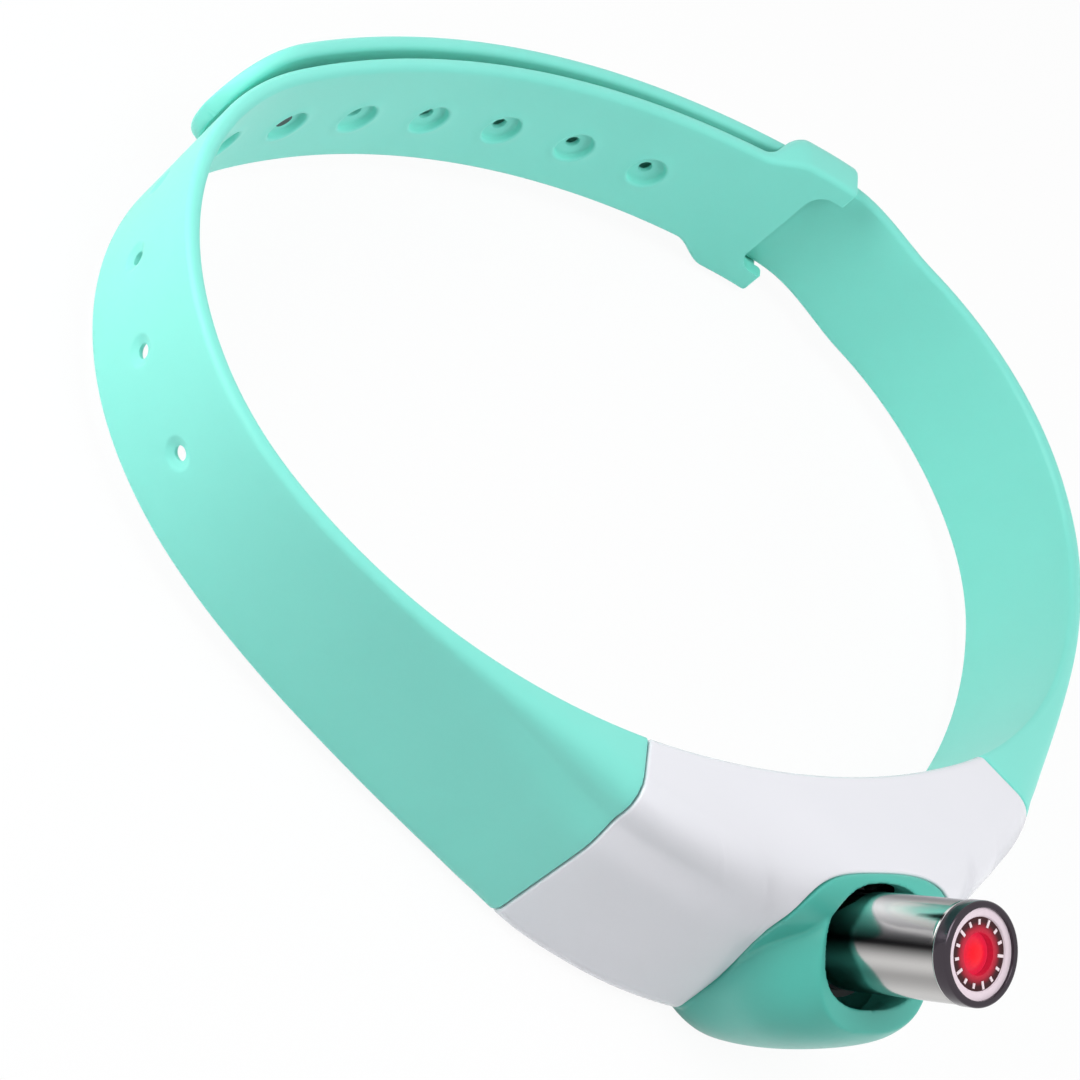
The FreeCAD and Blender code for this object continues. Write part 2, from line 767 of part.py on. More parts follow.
def bezel_ring():
    r = BEZEL_R
    return ring_profile([
        (BEZEL_BORE, PLATE_DEPTH + 1.25), (BEZEL_BORE, 0.2), (BEZEL_BORE + 0.2, 0.02), (r - 0.35, 0),
        (r - 0.12, 0.1), (r, 0.35), (r, BEZEL_LENGTH), (BEZEL_BORE, BEZEL_LENGTH),
    ])


def face_plate():
    sunk = PLATE_DEPTH + PLATE_STEP
    return ring_profile([
        (LENS_R, sunk), (PLATE_RING_R - 0.1, sunk), (PLATE_RING_R, PLATE_DEPTH),
        (BEZEL_BORE, PLATE_DEPTH), (BEZEL_BORE, BEZEL_LENGTH), (LENS_R, BEZEL_LENGTH),
    ])


def laser_lens():
    flat = laser_rod(LENS_R, LENS_FLAT, BEZEL_LENGTH)
    dome = Part.makeSphere(LENS_DOME_R, on_laser(LENS_DOME_FRONT + LENS_DOME_R))
    return fuse(flat, laser_rod(LENS_R, LENS_DOME_FRONT - 0.05, LENS_FLAT + 0.1).common(dome))


def laser_cradle():
    tube = laser_rod(CRADLE_R, CRADLE_FRONT, CRADLE_BACK)
    boss = pivot_rod(TRUNNION_R, *CRADLE_BOSS)
    hub = pivot_rod(TRUNNION_R, POD_BOTTOM + POD_WALL + 0.3, CRADLE_HUB_TOP)
    hub = hub.cut(laser_rod(CRADLE_R + 5, 0, CRADLE_BACK - 0.2))
    cradle = fuse(tube, boss, hub).cut(laser_rod(CRADLE_BORE, 0, CRADLE_BACK - CRADLE_FLOOR))
    wire_hole = rod(WIRE_HOLE_R, on_laser(20, WIRE_UP, WIRE_X), on_laser(CRADLE_BACK + 1, WIRE_UP, WIRE_X))
    cradle = cradle.cut(wire_hole)
    for pin in pivot_pins():
        cradle = cradle.cut(pin)
    return cradle


def pivot_pins():
    return [pivot_rod(PIVOT_R, *TOP_PIN), pivot_rod(PIVOT_R, *BOTTOM_PIN)]


# Teeth: straight flanks, slim enough to mesh with backlash
def gear_outline(teeth, first, last, hub_r):
    """Outline of a gear, or of a sector of it from a first to a last angle off -X, in degrees."""
    pitch_r = GEAR_MODULE * teeth / 2
    tip = pitch_r + 0.8 * GEAR_MODULE
    root = pitch_r - 1.2 * GEAR_MODULE
    step = 360.0 / teeth
    slim = math.degrees(GEAR_BACKLASH / pitch_r)
    points = []
    angle = first
    while angle < last - 0.01:
        for radius, share in ((root, -0.36), (tip, -0.13), (tip, 0.13), (root, 0.36)):
            turn = angle + share * step - math.copysign(slim / 2, share)
            points.append((radius, turn))
        angle += step
    if last - first < 359:
        points = [(hub_r, first - step / 2), (root, first - step / 2)] + points
        points += [(root, last - step / 2), (hub_r, last - step / 2)]
    return points


def gear(centre, teeth, first, last, hub_r, phase=0.0):
    outline = []
    for radius, turn in reversed(gear_outline(teeth, first, last, hub_r)):
        angle = math.radians(180 - turn - phase)
        spoke = Vector(radius * math.cos(angle), radius * math.sin(angle), GEAR_LOW)
        outline.append(centre + spoke)
    face = Part.Face(Part.makePolygon(outline + [outline[0]]))
    return face.extrude(Vector(0, 0, GEAR_T))


def sector_gear():
    teeth = gear(Vector(0, PIVOT.y, 0), SECTOR_TEETH, SECTOR_FIRST, SECTOR_LAST, TRUNNION_R + 0.2)
    hub = pivot_rod(TRUNNION_R + 0.4, GEAR_LOW, GEAR_LOW + GEAR_T)
    bore = pivot_rod(TRUNNION_R, -12, -3)
    return teeth.fuse(hub.cut(bore))


for name, piece in (
        ("laser_barrel", laser_barrel()),
        ("bezel_ring", bezel_ring()),
        ("face_plate", face_plate()),
        ("laser_lens", laser_lens()),
        ("laser_diode", laser_rod(DIODE_R, DIODE_FRONT, DIODE_BACK)),
        ("diode_board", laser_rod(DIODE_BOARD_R, DIODE_BACK, DIODE_BACK + DIODE_BOARD_T)),
        ("laser_cradle", laser_cradle()),
        ("sector_gear", sector_gear())):
    save(name, at_rest(piece))
save("pivot_pins", *[at_rest(pin) for pin in pivot_pins()])


# Sweep motor with its pinion, in a spring clip on the board. The pinion's teeth face the sector's
# gaps while the barrel rests to one side.
MOTOR_X = -GEAR_MODULE * (SECTOR_TEETH + PINION_TEETH) / 2
PINION_PHASE = -REST_SWING * SECTOR_TEETH / PINION_TEETH


def motor_rod(radius, low, high):
    return rod(radius, Vector(MOTOR_X, PIVOT.y, low), Vector(MOTOR_X, PIVOT.y, high))


def motor_pinion():
    centre = Vector(MOTOR_X, PIVOT.y, 0)
    half_tooth = 180.0 / PINION_TEETH
    wheel = gear(centre, PINION_TEETH, 0.0, 360.0, 0.0, phase=half_tooth - PINION_PHASE)
    return wheel.cut(motor_rod(MOTOR_SHAFT_R, -12, 0))


def motor_clip():
    low = MOTOR_LOW + CLIP_INSET[0]
    high = MOTOR_HIGH - CLIP_INSET[1]

    def slab_about(half_w, back, front, more=0.0):
        return box(MOTOR_X - half_w, MOTOR_X + half_w, back, front, low - more, high + more)

    ring = motor_rod(MOTOR_R + CLIP_WALL, low, high).cut(motor_rod(MOTOR_R, -12, 5))
    web = slab_about(CLIP_WEB_HALF_W, PIVOT.y + MOTOR_R + 0.2, BOARD_FRONT - 0.3)
    foot = slab_about(CLIP_FOOT_HALF_W, BOARD_FRONT - CLIP_FOOT_T, BOARD_FRONT)
    gap = slab_about(CLIP_GAP_HALF_W, PIVOT.y - 5, PIVOT.y - 1, 1.0)
    return ring.cut(gap).fuse([web, foot])


save("motor_body", motor_rod(MOTOR_R, MOTOR_LOW, MOTOR_HIGH))
save("motor_clip", motor_clip())
save("motor_shaft", motor_rod(MOTOR_SHAFT_R, GEAR_LOW - 0.2, MOTOR_LOW))
save("motor_pinion", motor_pinion())


# Wires inside the pod, in pairs
WIRE_R = 0.28
WIRE_STEP = 0.8
WIRE_BEND = 0.6


def wire_pair(points):
    pair = []
    for offset in (-WIRE_STEP / 2, WIRE_STEP / 2):
        moved = [point + Vector(offset, 0, 0) for point in points]
        pair.append(wire_tube(moved, WIRE_R, WIRE_BEND))
    return pair


def laser_wires():
    """They start clear of the cradle, which swings in front of them."""
    start = on_laser(CRADLE_BACK + 0.8, WIRE_UP, WIRE_X)
    bend = start - laser_dir * 1.1
    return wire_pair([start, bend, Vector(WIRE_X, BOARD_FRONT, bend.z)])


def motor_wires():
    start = Vector(MOTOR_X, PIVOT.y + 0.8, MOTOR_HIGH)
    bend = start + Vector(0, 0, 1.6)
    return wire_pair([start, bend, Vector(MOTOR_X, BOARD_FRONT, bend.z)])


def battery_wires():
    start = on_band(CELL_RUN - 2.4, CELL_OUT + CELL_T / 2, CELL_HIGH)
    bend = start + Vector(0, 0, 1.2)
    return wire_pair([start, bend, Vector(bend.x - 0.3, BOARD_FRONT - 0.05, bend.z)])


save("laser_wires", *laser_wires())
save("motor_wires", *motor_wires())
save("battery_wires", *battery_wires())


# Bands
def other_side(run):
    """A run on the tongue's side, given on the left band's side, past the back."""
    return run - 2 * HALF_GIRTH


def band_runs(first, last, step=6.0):
    count = max(int(math.ceil(abs(last - first) / step)), 1)
    return [first + (last - first) * i / count for i in range(count + 1)]


def strap_form(side, band_sections):
    """The fairing's end outside the pod and the band as one form, with the tab that goes into the pod."""
    pairs = [(run, depth) for run, depth in zip(FAIRING_RUNS, FAIRING_DEPTH) if run >= ROOT_FIRST_RUN]
    sections = [fairing_section(side * run, depth, 0, 0) for run, depth in pairs]
    form = loft(sections + band_sections).cut(pod_wedge(-FIT_GAP))
    return fuse(form, root_tab(side)).cut(strap_pin(side))


def hole_runs():
    return [-(FIRST_HOLE + HOLE_PITCH * i) for i in range(HOLE_COUNT)]


def is_far_side(edge, mouth):
    """True for the edges of the lip's cut-back that run through the wall at its inner end."""
    origin, out, along = frame_at(mouth)
    first, last = (vertex.Point - origin for vertex in edge.Vertexes)
    return first.dot(along) > LIP_CUT_BACK - 0.1 and last.dot(along) > LIP_CUT_BACK - 0.1 \
        and abs((last - first).dot(out)) > 1.0


def keeper():
    """The loop at the end of the left band, with the flare that leads into it."""
    outer = OUTER_LAYER + BAND_T + TONGUE_CLEARANCE + KEEPER_WALL
    mouth = other_side(KEEPER_MOUTH)
    far = mouth + KEEPER_LENGTH
    end = far + KEEPER_FLARE
    wires = []
    for run in (mouth, mouth + KEEPER_LENGTH / 2, far):
        corners = (BAND_EDGE_R,) * 2 + (KEEPER_CORNER,) * 2
        wires.append(band_section(run, 0, outer, KEEPER_LOW, KEEPER_HIGH, corners))
    body = loft(wires)
    wires = []
    for i in range(5):
        share = smooth(i / 4, 0, 1)
        run = far + KEEPER_FLARE * i / 4
        low = KEEPER_LOW + (-half_width(run) - KEEPER_LOW) * share
        high = KEEPER_HIGH + (half_width(run) - KEEPER_HIGH) * share
        top = outer + (BAND_T - outer) * share
        corner = KEEPER_CORNER + (BAND_EDGE_R - KEEPER_CORNER) * share
        wires.append(band_section(run, 0, top, low, high, (BAND_EDGE_R,) * 2 + (corner,) * 2))
    flare = loft(wires)
    slot = []
    for run in band_runs(mouth - 2, end + 2, 3.0):
        slot.append(band_section(run, BAND_T, outer - KEEPER_WALL, -SLOT_HALF_W, SLOT_HALF_W, (0.4,) * 4))
    lip = block_at(mouth, -1, LIP_CUT_BACK, -1, BAND_T, -LIP_CUT_HALF_W, LIP_CUT_HALF_W)
    lip = lip.makeFillet(2.0, [edge for edge in lip.Edges if is_far_side(edge, mouth)])
    return fuse(body, flare).cut(loft(slot)).cut(lip), end


def left_strap():
    loop, end = keeper()
    runs = band_runs(-BAND_FIRST_RUN, end)
    sections = [band_section(run, 0, BAND_T, -half_width(run), half_width(run)) for run in runs]
    strap = fuse(strap_form(-1, sections), loop)
    for run in hole_runs():
        strap = strap.cut(peg_at(run, HOLE_D / 2, -1, BAND_T + 1, HOLE_Z))
        strap = strap.cut(peg_at(run, HOLE_SINK_D / 2, -1, HOLE_SINK_DEPTH, HOLE_Z))
    return strap


def tongue_out(run):
    """How far the tongue's inner face lies outside the opening."""
    return OUTER_LAYER * smooth(run, TONGUE_RISE_START, TONGUE_RISE_END)


def tongue_section(run, narrower):
    half = half_width(run) - narrower
    out = tongue_out(run)
    return band_section(run, out, out + BAND_T, -half, half)


STUD_RUN = 2 * HALF_GIRTH - (FIRST_HOLE + HOLE_PITCH * STUD_HOLE)
HINGE_RUN = STUD_RUN - TONGUE_HINGE_BEFORE_STUD


def tongue_strap():
    last = HINGE_RUN - TONGUE_JOINT_GAP / 2
    runs = band_runs(BAND_FIRST_RUN, TONGUE_RISE_START - 3)
    runs += band_runs(TONGUE_RISE_START, TONGUE_RISE_END, 2.0)
    runs += band_runs(TONGUE_RISE_END + 4, last)
    sections = [tongue_section(run, TONGUE_NARROWER * smooth(run, 60, 90)) for run in runs]
    return strap_form(1, sections)


def tongue_tip():
    first = HINGE_RUN + TONGUE_JOINT_GAP / 2
    half = half_width(STUD_RUN) - TONGUE_NARROWER
    wires = [tongue_section(run, TONGUE_NARROWER) for run in band_runs(first, STUD_RUN + half + 4, 5.0)]
    origin, out, along = frame_at(STUD_RUN)
    level = Vector(0, 0, HOLE_Z)
    centre = origin + along * (TONGUE_PAST_STUD - half)
    end_round = rod(half + 0.01, centre, centre + out * 9)
    body = block_at(STUD_RUN, -15, TONGUE_PAST_STUD - half, 0, 9, -12, 12)
    tip = loft(wires).common(fuse(end_round, body))
    socket = rod(0.8, origin + out * OUTER_LAYER + level, origin + out * (OUTER_LAYER + 1.2) + level)
    return tip.cut(socket)


def closure_stud():
    """A peg moulded into the tip, which passes into a hole of the left band."""
    collar = peg_at(STUD_RUN, 0.8, OUTER_LAYER, OUTER_LAYER + 1.2, HOLE_Z)
    neck = peg_at(STUD_RUN, STUD_R, STUD_TAPER_OUT, OUTER_LAYER, HOLE_Z)
    start = on_band(STUD_RUN, STUD_TIP_OUT, HOLE_Z)
    along = on_band(STUD_RUN, STUD_TAPER_OUT, HOLE_Z) - start
    taper = Part.makeCone(STUD_TIP_R, STUD_R, along.Length, start, along)
    return fuse(collar, neck, taper)


save("left_strap", left_strap())
save("tongue_strap", tongue_strap())
save("tongue_tip", tongue_tip())
save("closure_stud", closure_stud())

for name, shape in made.items():
    print(name, shape.isValid(), round(shape.Volume, 2), len(shape.Solids))
print("pivot", PIVOT, "hinge", on_band(HINGE_RUN, OUTER_LAYER + BAND_T, 0), "end run", END_RUN)
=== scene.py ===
# %% [markdown]
# # A cat laser collar, dressed
# The collar is a silicone band in two halves that meet in a keeper loop and a stud, with a hard pod
# at the throat. A motor in the pod swings a small chromed barrel with a laser in it.
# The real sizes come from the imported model, which this lesson loads first and never moves. Each
# piece that shows is then modelled again as a fine mesh in the same place, with its own finish.

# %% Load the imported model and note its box
import functools
import json
import math

import bmesh
import bpy
from mathutils import Matrix, Vector


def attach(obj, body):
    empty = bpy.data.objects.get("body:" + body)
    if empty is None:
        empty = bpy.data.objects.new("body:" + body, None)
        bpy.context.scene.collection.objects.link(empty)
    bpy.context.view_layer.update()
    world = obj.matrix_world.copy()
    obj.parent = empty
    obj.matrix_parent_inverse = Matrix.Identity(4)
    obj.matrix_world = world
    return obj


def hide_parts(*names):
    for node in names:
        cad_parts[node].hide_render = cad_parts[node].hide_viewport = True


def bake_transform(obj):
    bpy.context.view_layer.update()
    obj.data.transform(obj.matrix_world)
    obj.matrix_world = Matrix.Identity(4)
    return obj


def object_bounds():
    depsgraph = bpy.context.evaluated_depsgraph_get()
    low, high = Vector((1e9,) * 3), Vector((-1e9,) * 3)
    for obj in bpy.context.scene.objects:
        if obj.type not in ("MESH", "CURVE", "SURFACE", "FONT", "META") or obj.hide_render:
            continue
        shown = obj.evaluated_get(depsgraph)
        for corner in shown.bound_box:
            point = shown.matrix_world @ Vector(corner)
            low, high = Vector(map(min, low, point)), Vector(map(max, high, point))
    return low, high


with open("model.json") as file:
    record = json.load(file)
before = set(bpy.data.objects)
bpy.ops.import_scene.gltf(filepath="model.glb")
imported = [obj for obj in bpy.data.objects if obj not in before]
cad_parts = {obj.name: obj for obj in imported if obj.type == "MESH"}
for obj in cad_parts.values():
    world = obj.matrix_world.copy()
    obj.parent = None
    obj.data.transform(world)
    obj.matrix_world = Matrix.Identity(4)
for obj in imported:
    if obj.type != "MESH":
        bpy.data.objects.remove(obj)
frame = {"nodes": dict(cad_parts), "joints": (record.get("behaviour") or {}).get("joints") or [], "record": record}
nodes = frame["nodes"]
cad_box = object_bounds()
print("size in mm", [round(1000 * side, 1) for side in cad_box[1] - cad_box[0]])

# %% [markdown]
# ## The line that everything follows
# The neck opening is an oval of tangent arcs, wide at the throat and tight at the sides. Silicone
# bands are moulded round such a line, so every part of the collar is easiest to place by three
# numbers: the run along the opening from the throat, the distance out from it, and the height.
# All lengths in this lesson are in millimetres, and become metres when a mesh is made.

# %% The oval of the neck opening
MM = 0.001
FRONT_RADIUS = 76.9
CORNER_RADIUS = 44.8
SIDE_RADIUS = 28.8
FRONT_TURN = 12.0
CORNER_TURN = 63.4
SIDE_TURN = 158.8
FRONT_Y = -33.6


def direction(turn):
    """Outward direction in plan, at a turn in degrees from the throat towards +X."""
    return Vector((math.sin(math.radians(turn)), -math.cos(math.radians(turn)), 0))


def oval_arcs():
    """The four arcs of the right half: centre, radius, first and last turn."""
    front = Vector((0, FRONT_Y + FRONT_RADIUS, 0))
    corner = front + direction(FRONT_TURN) * (FRONT_RADIUS - CORNER_RADIUS)
    side = corner + direction(CORNER_TURN) * (CORNER_RADIUS - SIDE_RADIUS)
    back_radius = SIDE_RADIUS + side.x / math.sin(math.radians(SIDE_TURN))
    back = side + direction(SIDE_TURN) * (SIDE_RADIUS - back_radius)
    return [(front, FRONT_RADIUS, 0.0, FRONT_TURN), (corner, CORNER_RADIUS, FRONT_TURN, CORNER_TURN),
            (side, SIDE_RADIUS, CORNER_TURN, SIDE_TURN), (back, back_radius, SIDE_TURN, 180.0)]


ARCS = oval_arcs()
HALF_GIRTH = sum(radius * math.radians(last - first) for _, radius, first, last in ARCS)


def station(run):
    """Centre, radius and turn of the oval at a run from the throat, + towards +X."""
    sign = 1 if run >= 0 else -1
    left = abs(run)
    if left > HALF_GIRTH:
        return station(run - sign * 2 * HALF_GIRTH)
    for centre, radius, first, last in ARCS:
        length = radius * math.radians(last - first)
        if left <= length + 1e-9:
            return Vector((sign * centre.x, centre.y, 0)), radius, sign * (first + math.degrees(left / radius))
        left -= length
    return ARCS[-1][0].copy(), ARCS[-1][1], sign * 180.0


def on_band(run, out, z):
    """Point at a run, out from the opening, at a height."""
    centre, radius, turn = station(run)
    return centre + direction(turn) * (radius + out) + Vector((0, 0, z))


print("girth of the opening in mm", round(2 * HALF_GIRTH, 1))

# %% [markdown]
# ## Camera
# The collar is seen from its left, from above and tilted. The lens is long, as in most product
# pictures, so that near and far sides keep almost the same scale.

# %% The camera
AZIMUTH = -58.58
ELEVATION = 38.13
ROLL = 51.25
DISTANCE = 301.1
SLIDE_RIGHT = -8.74
SLIDE_UP = -5.32
LENS = 114.93


def make_camera():
    azimuth, elevation, roll = (math.radians(angle) for angle in (AZIMUTH, ELEVATION, ROLL))
    level = Vector((math.cos(azimuth), math.sin(azimuth), 0))
    back = Vector((math.sin(azimuth) * math.cos(elevation), -math.cos(azimuth) * math.cos(elevation),
                   math.sin(elevation)))
    upright = back.cross(level)
    right = level * math.cos(roll) + upright * math.sin(roll)
    up = upright * math.cos(roll) - level * math.sin(roll)
    place = (back * DISTANCE + right * SLIDE_RIGHT + up * SLIDE_UP) * MM
    data = bpy.data.cameras.new("camera")
    data.lens = LENS
    data.sensor_width = 36
    data.clip_start = 0.01
    camera = bpy.data.objects.new("camera", data)
    turn = Matrix((right, up, back)).transposed()
    camera.matrix_world = Matrix.Translation(place) @ turn.to_4x4()
    bpy.context.scene.collection.objects.link(camera)
    bpy.context.scene.camera = camera
    return camera


camera = make_camera()
print("camera at", [round(1000 * value, 1) for value in camera.matrix_world.translation])

# %% [markdown]
# ## Shader arithmetic
# A finish is easiest to read as a sum: a colour plus a little noise, a mask times a roughness. The
# class Value wraps one socket, so that such sums are written as plain Python and add the Math nodes
# by themselves. Paint is one material with its Principled shader.

# %% Two small classes for materials
class Value:
    """A number that a socket carries."""

    def __init__(self, paint, socket):
        self.paint = paint
        self.socket = socket

    def math(self, operation, *values):
        inputs = dict(enumerate((self, *values)))
        return self.paint.node("ShaderNodeMath", {"operation": operation}, inputs, 0)

    def __add__(self, other):
        return self.math("ADD", other)

    def __sub__(self, other):
        return self.math("SUBTRACT", other)

    def __mul__(self, other):
        return self.math("MULTIPLY", other)

    def __truediv__(self, other):
        return self.math("DIVIDE", other)

    def __rsub__(self, other):
        return self.math("MULTIPLY", -1.0).math("ADD", other)

    __radd__ = __add__
    __rmul__ = __mul__

    def between(self, low, high):
        """0 below low, 1 above high, and a smooth rise between."""
        return self.paint.node("ShaderNodeMapRange", {"interpolation_type": "SMOOTHSTEP"},
                               {0: self, 1: low, 2: high}, 0)


class Paint:
    """One procedural material."""

    def __init__(self, name):
        self.material = bpy.data.materials.new(name)
        self.material.use_nodes = True
        self.tree = self.material.node_tree
        self.shader = self.tree.nodes["Principled BSDF"]

    def feed(self, socket, value):
        if isinstance(value, Value):
            self.tree.links.new(value.socket, socket)
        else:
            socket.default_value = value

    def node(self, kind, settings, inputs, output):
        """Add a node, set it, feed its inputs by name or number, and give back one output."""
        made = self.tree.nodes.new(kind)
        for name, value in settings.items():
            if name == "stops":
                for element, (place, colour) in zip(made.color_ramp.elements, value):
                    element.position = place
                    element.color = colour
            else:
                setattr(made, name, value)
        for name, value in inputs.items():
            self.feed(made.inputs[name], value)
        return Value(self, made.outputs[output])

    def place(self):
        """Object coordinates, in metres."""
        return self.node("ShaderNodeTexCoord", {}, {}, "Object")

    def axis(self, name):
        return self.node("ShaderNodeSeparateXYZ", {}, {0: self.place()}, name)

    def noise(self, size, detail=2.0, stretch=(1, 1, 1)):
        """Noise from 0 to 1 with features of a size in millimetres."""
        place = self.node("ShaderNodeMapping", {}, {"Vector": self.place(), "Scale": stretch}, 0)
        return self.node("ShaderNodeTexNoise", {}, {"Vector": place, "Scale": 1 / (size * MM), "Detail": detail}, 0)

    def mix(self, share, first, second):
        """A colour between two colours."""
        inputs = {0: share, 6: first, 7: second}
        return self.node("ShaderNodeMix", {"data_type": "RGBA"}, inputs, 2)

    def bump(self, height, depth):
        """Feed a relief of a depth in millimetres."""
        normal = self.node("ShaderNodeBump", {}, {"Height": height, "Strength": 1.0, "Distance": depth * MM}, 0)
        self.set({"Normal": normal})

    def set(self, sockets):
        for name, value in sockets.items():
            self.feed(self.shader.inputs[name], value)
        return self


def srgb(red, green, blue):
    """A colour as it looks on a screen, 0 to 255, as the shader wants it."""
    return tuple((v / 12.92 if v <= 0.04045 else ((v + 0.055) / 1.055) ** 2.4)
                 for v in (red / 255, green / 255, blue / 255)) + (1.0,)


print("a mid mint as linear colour", [round(v, 3) for v in srgb(143, 225, 213)])

# %% [markdown]
# ## Finishes
# The strap is moulded silicone: matt, a little soft at grazing angles, with a faint cloudiness.
# The pod is glossy white plastic with a satin mint cowl. The barrel is polished plate over brass.
# Each finish carries a weak noise in its colour or its roughness, because a perfectly even
# surface looks like a drawing and not like a moulding.

# %% Finishes of the strap and the pod
def silicone():
    paint = Paint("mint_silicone")
    cloud = paint.noise(14, 3)
    dust = paint.noise(0.35, 4)
    colour = paint.mix(cloud, srgb(128, 222, 208), srgb(134, 227, 213))
    paint.set({"Base Color": colour, "Roughness": dust * 0.08 + 0.42,
               "Specular IOR Level": 0.42, "Sheen Weight": 0.12, "Sheen Roughness": 0.5,
               "Sheen Tint": srgb(205, 255, 246), "Subsurface Weight": 0.12,
               "Subsurface Radius": (0.5, 1.0, 0.9), "Subsurface Scale": 1.2 * MM})
    paint.bump(dust, 0.004)
    return paint.material


def white_gloss():
    paint = Paint("white_gloss_plastic")
    cloud = paint.noise(9, 2)
    paint.set({"Base Color": paint.mix(cloud, srgb(228, 229, 235), srgb(232, 232, 238)),
               "Roughness": paint.noise(0.5, 3) * 0.05 + 0.22, "Specular IOR Level": 0.5,
               "Coat Weight": 0.25, "Coat Roughness": 0.08})
    return paint.material


def mint_satin():
    paint = Paint("mint_satin_plastic")
    cloud = paint.noise(8, 2)
    paint.set({"Base Color": paint.mix(cloud, srgb(76, 181, 166), srgb(82, 187, 172)),
               "Roughness": paint.noise(0.4, 3) * 0.06 + 0.3, "Specular IOR Level": 0.5,
               "Subsurface Weight": 0.08, "Subsurface Radius": (0.5, 1.0, 0.9),
               "Subsurface Scale": 0.8 * MM})
    return paint.material


def polished(name, colour, roughness, brushed):
    """Plated metal with the faint turning marks of a lathe."""
    paint = Paint(name)
    lines = paint.noise(0.22, 2, (1, 1, 1))
    paint.set({"Base Color": colour, "Metallic": 1.0, "Roughness": lines * brushed + roughness})
    return paint.material


SILICONE = silicone()
WHITE = white_gloss()
MINT = mint_satin()
CHROME = polished("polished_plate", srgb(226, 224, 222), 0.10, 0.05)
DARK_CHROME = polished("dark_plate", srgb(72, 66, 72), 0.14, 0.06)
print("finishes", [item.name for item in (SILICONE, WHITE, MINT, CHROME, DARK_CHROME)])


# %% Finishes of the small and hidden parts
def plain(name, colour, roughness, metallic=0.0, grain=0.3, spread=0.06, relief=0.0):
    """A simple moulded or rolled finish, with its grain in the colour and the roughness."""
    paint = Paint(name)
    speck = paint.noise(grain, 3)
    darker = tuple(value * (1 - spread) for value in colour[:3]) + (1.0,)
    paint.set({"Base Color": paint.mix(speck, darker, colour), "Metallic": metallic,
               "Roughness": speck * 0.1 + roughness})
    if relief:
        paint.bump(speck, relief)
    return paint.material


def circuit_resist():
    """Green solder resist with darker tracks under it."""
    paint = Paint("solder_resist")
    across = (paint.axis("X") * (1 / (0.9 * MM))).math("FRACT")
    along = (paint.axis("Z") * (1 / (1.3 * MM))).math("FRACT")
    tracks = across.math("GREATER_THAN", 0.72) * along.math("GREATER_THAN", 0.2)
    paint.set({"Base Color": paint.mix(tracks, srgb(18, 84, 52), srgb(38, 122, 78)), "Roughness": 0.35})
    return paint.material


def clear(name, colour, roughness):
    paint = Paint(name)
    paint.set({"Base Color": colour, "Roughness": paint.noise(0.3, 2) * 0.05 + roughness,
               "Transmission Weight": 0.85, "IOR": 1.5})
    return paint.material


SMALL = {
    "steel": plain("zinc_steel", srgb(186, 188, 192), 0.28, 1.0),
    "seal_rubber": plain("seal_rubber", srgb(70, 74, 74), 0.6, relief=0.01),
    "board": circuit_resist(),
    "socket_steel": plain("drawn_steel", srgb(200, 201, 205), 0.22, 1.0),
    "chip_black": plain("moulded_epoxy", srgb(34, 34, 36), 0.5, relief=0.005),
    "led_white": plain("white_resin", srgb(232, 230, 214), 0.35),
    "clear_pipe": clear("clear_polycarbonate", srgb(240, 246, 246), 0.12),
    "button_grey": plain("button_silicone", srgb(86, 200, 180), 0.5, relief=0.004),
    "cell_foil": plain("pouch_foil", srgb(178, 180, 184), 0.35, 0.9, 0.8, 0.12, 0.02),
    "foam": plain("closed_cell_foam", srgb(52, 52, 54), 0.9, 0.0, 0.5, 0.2, 0.05),
    "brass": plain("turned_brass", srgb(214, 178, 104), 0.25, 1.0),
    "cradle_black": plain("black_nylon", srgb(38, 39, 41), 0.45, relief=0.004),
    "gear_white": plain("white_acetal", srgb(230, 229, 222), 0.3),
    "motor_steel": plain("motor_can", srgb(188, 189, 192), 0.3, 1.0),
    "wire_red": plain("red_vinyl", srgb(186, 40, 34), 0.4),
    "stud_dark": plain("dark_stud", srgb(16, 40, 40), 0.4),
}
for node in nodes.values():
    slot = next(part["material_slot"] for part in frame["record"]["subparts"] if part["node"] == node.name)
    if slot in SMALL:
        node.data.materials.clear()
        node.data.materials.append(SMALL[slot])
print("small parts finished", sum(1 for node in nodes.values() if node.data.materials[0].name != ""))

# %% [markdown]
# ## Sections and skins
# A band, a fairing and a keeper are all the same idea: a flat outline with rounded corners, carried
# along the opening. The outline is kept as corner arcs and straight sides, so that any point on it
# can be asked for by a piece and a share. A Skin collects grids of such points, merges the rows
# where they meet, and makes one smooth mesh.

# %% Outlines with rounded corners
BAND_T = 1.4
BAND_EDGE_R = 0.6
BACK_HALF_W = 6.8
SIDE_HALF_W = 7.2


def smooth(value, start, end):
    t = min(max((value - start) / (end - start), 0.0), 1.0)
    return t * t * (3 - 2 * t)


def eased(rows, at):
    """Values at a place between rows of (place, value, ...), on a smooth curve through them."""
    if at <= rows[0][0]:
        return rows[0][1:]
    if at >= rows[-1][0]:
        return rows[-1][1:]
    i = next(k for k in range(len(rows) - 1) if at <= rows[k + 1][0])
    span = rows[i + 1][0] - rows[i][0]
    t = (at - rows[i][0]) / span
    values = []
    for column in range(1, len(rows[0])):
        slopes = []
        for k in (i, i + 1):
            before, after = max(k - 1, 0), min(k + 1, len(rows) - 1)
            slopes.append((rows[after][column] - rows[before][column]) / (rows[after][0] - rows[before][0]))
        values.append(rows[i][column] * (2 * t ** 3 - 3 * t ** 2 + 1) + slopes[0] * span * (t ** 3 - 2 * t ** 2 + t)
                      + rows[i + 1][column] * (3 * t ** 2 - 2 * t ** 3) + slopes[1] * span * (t ** 3 - t ** 2))
    return values


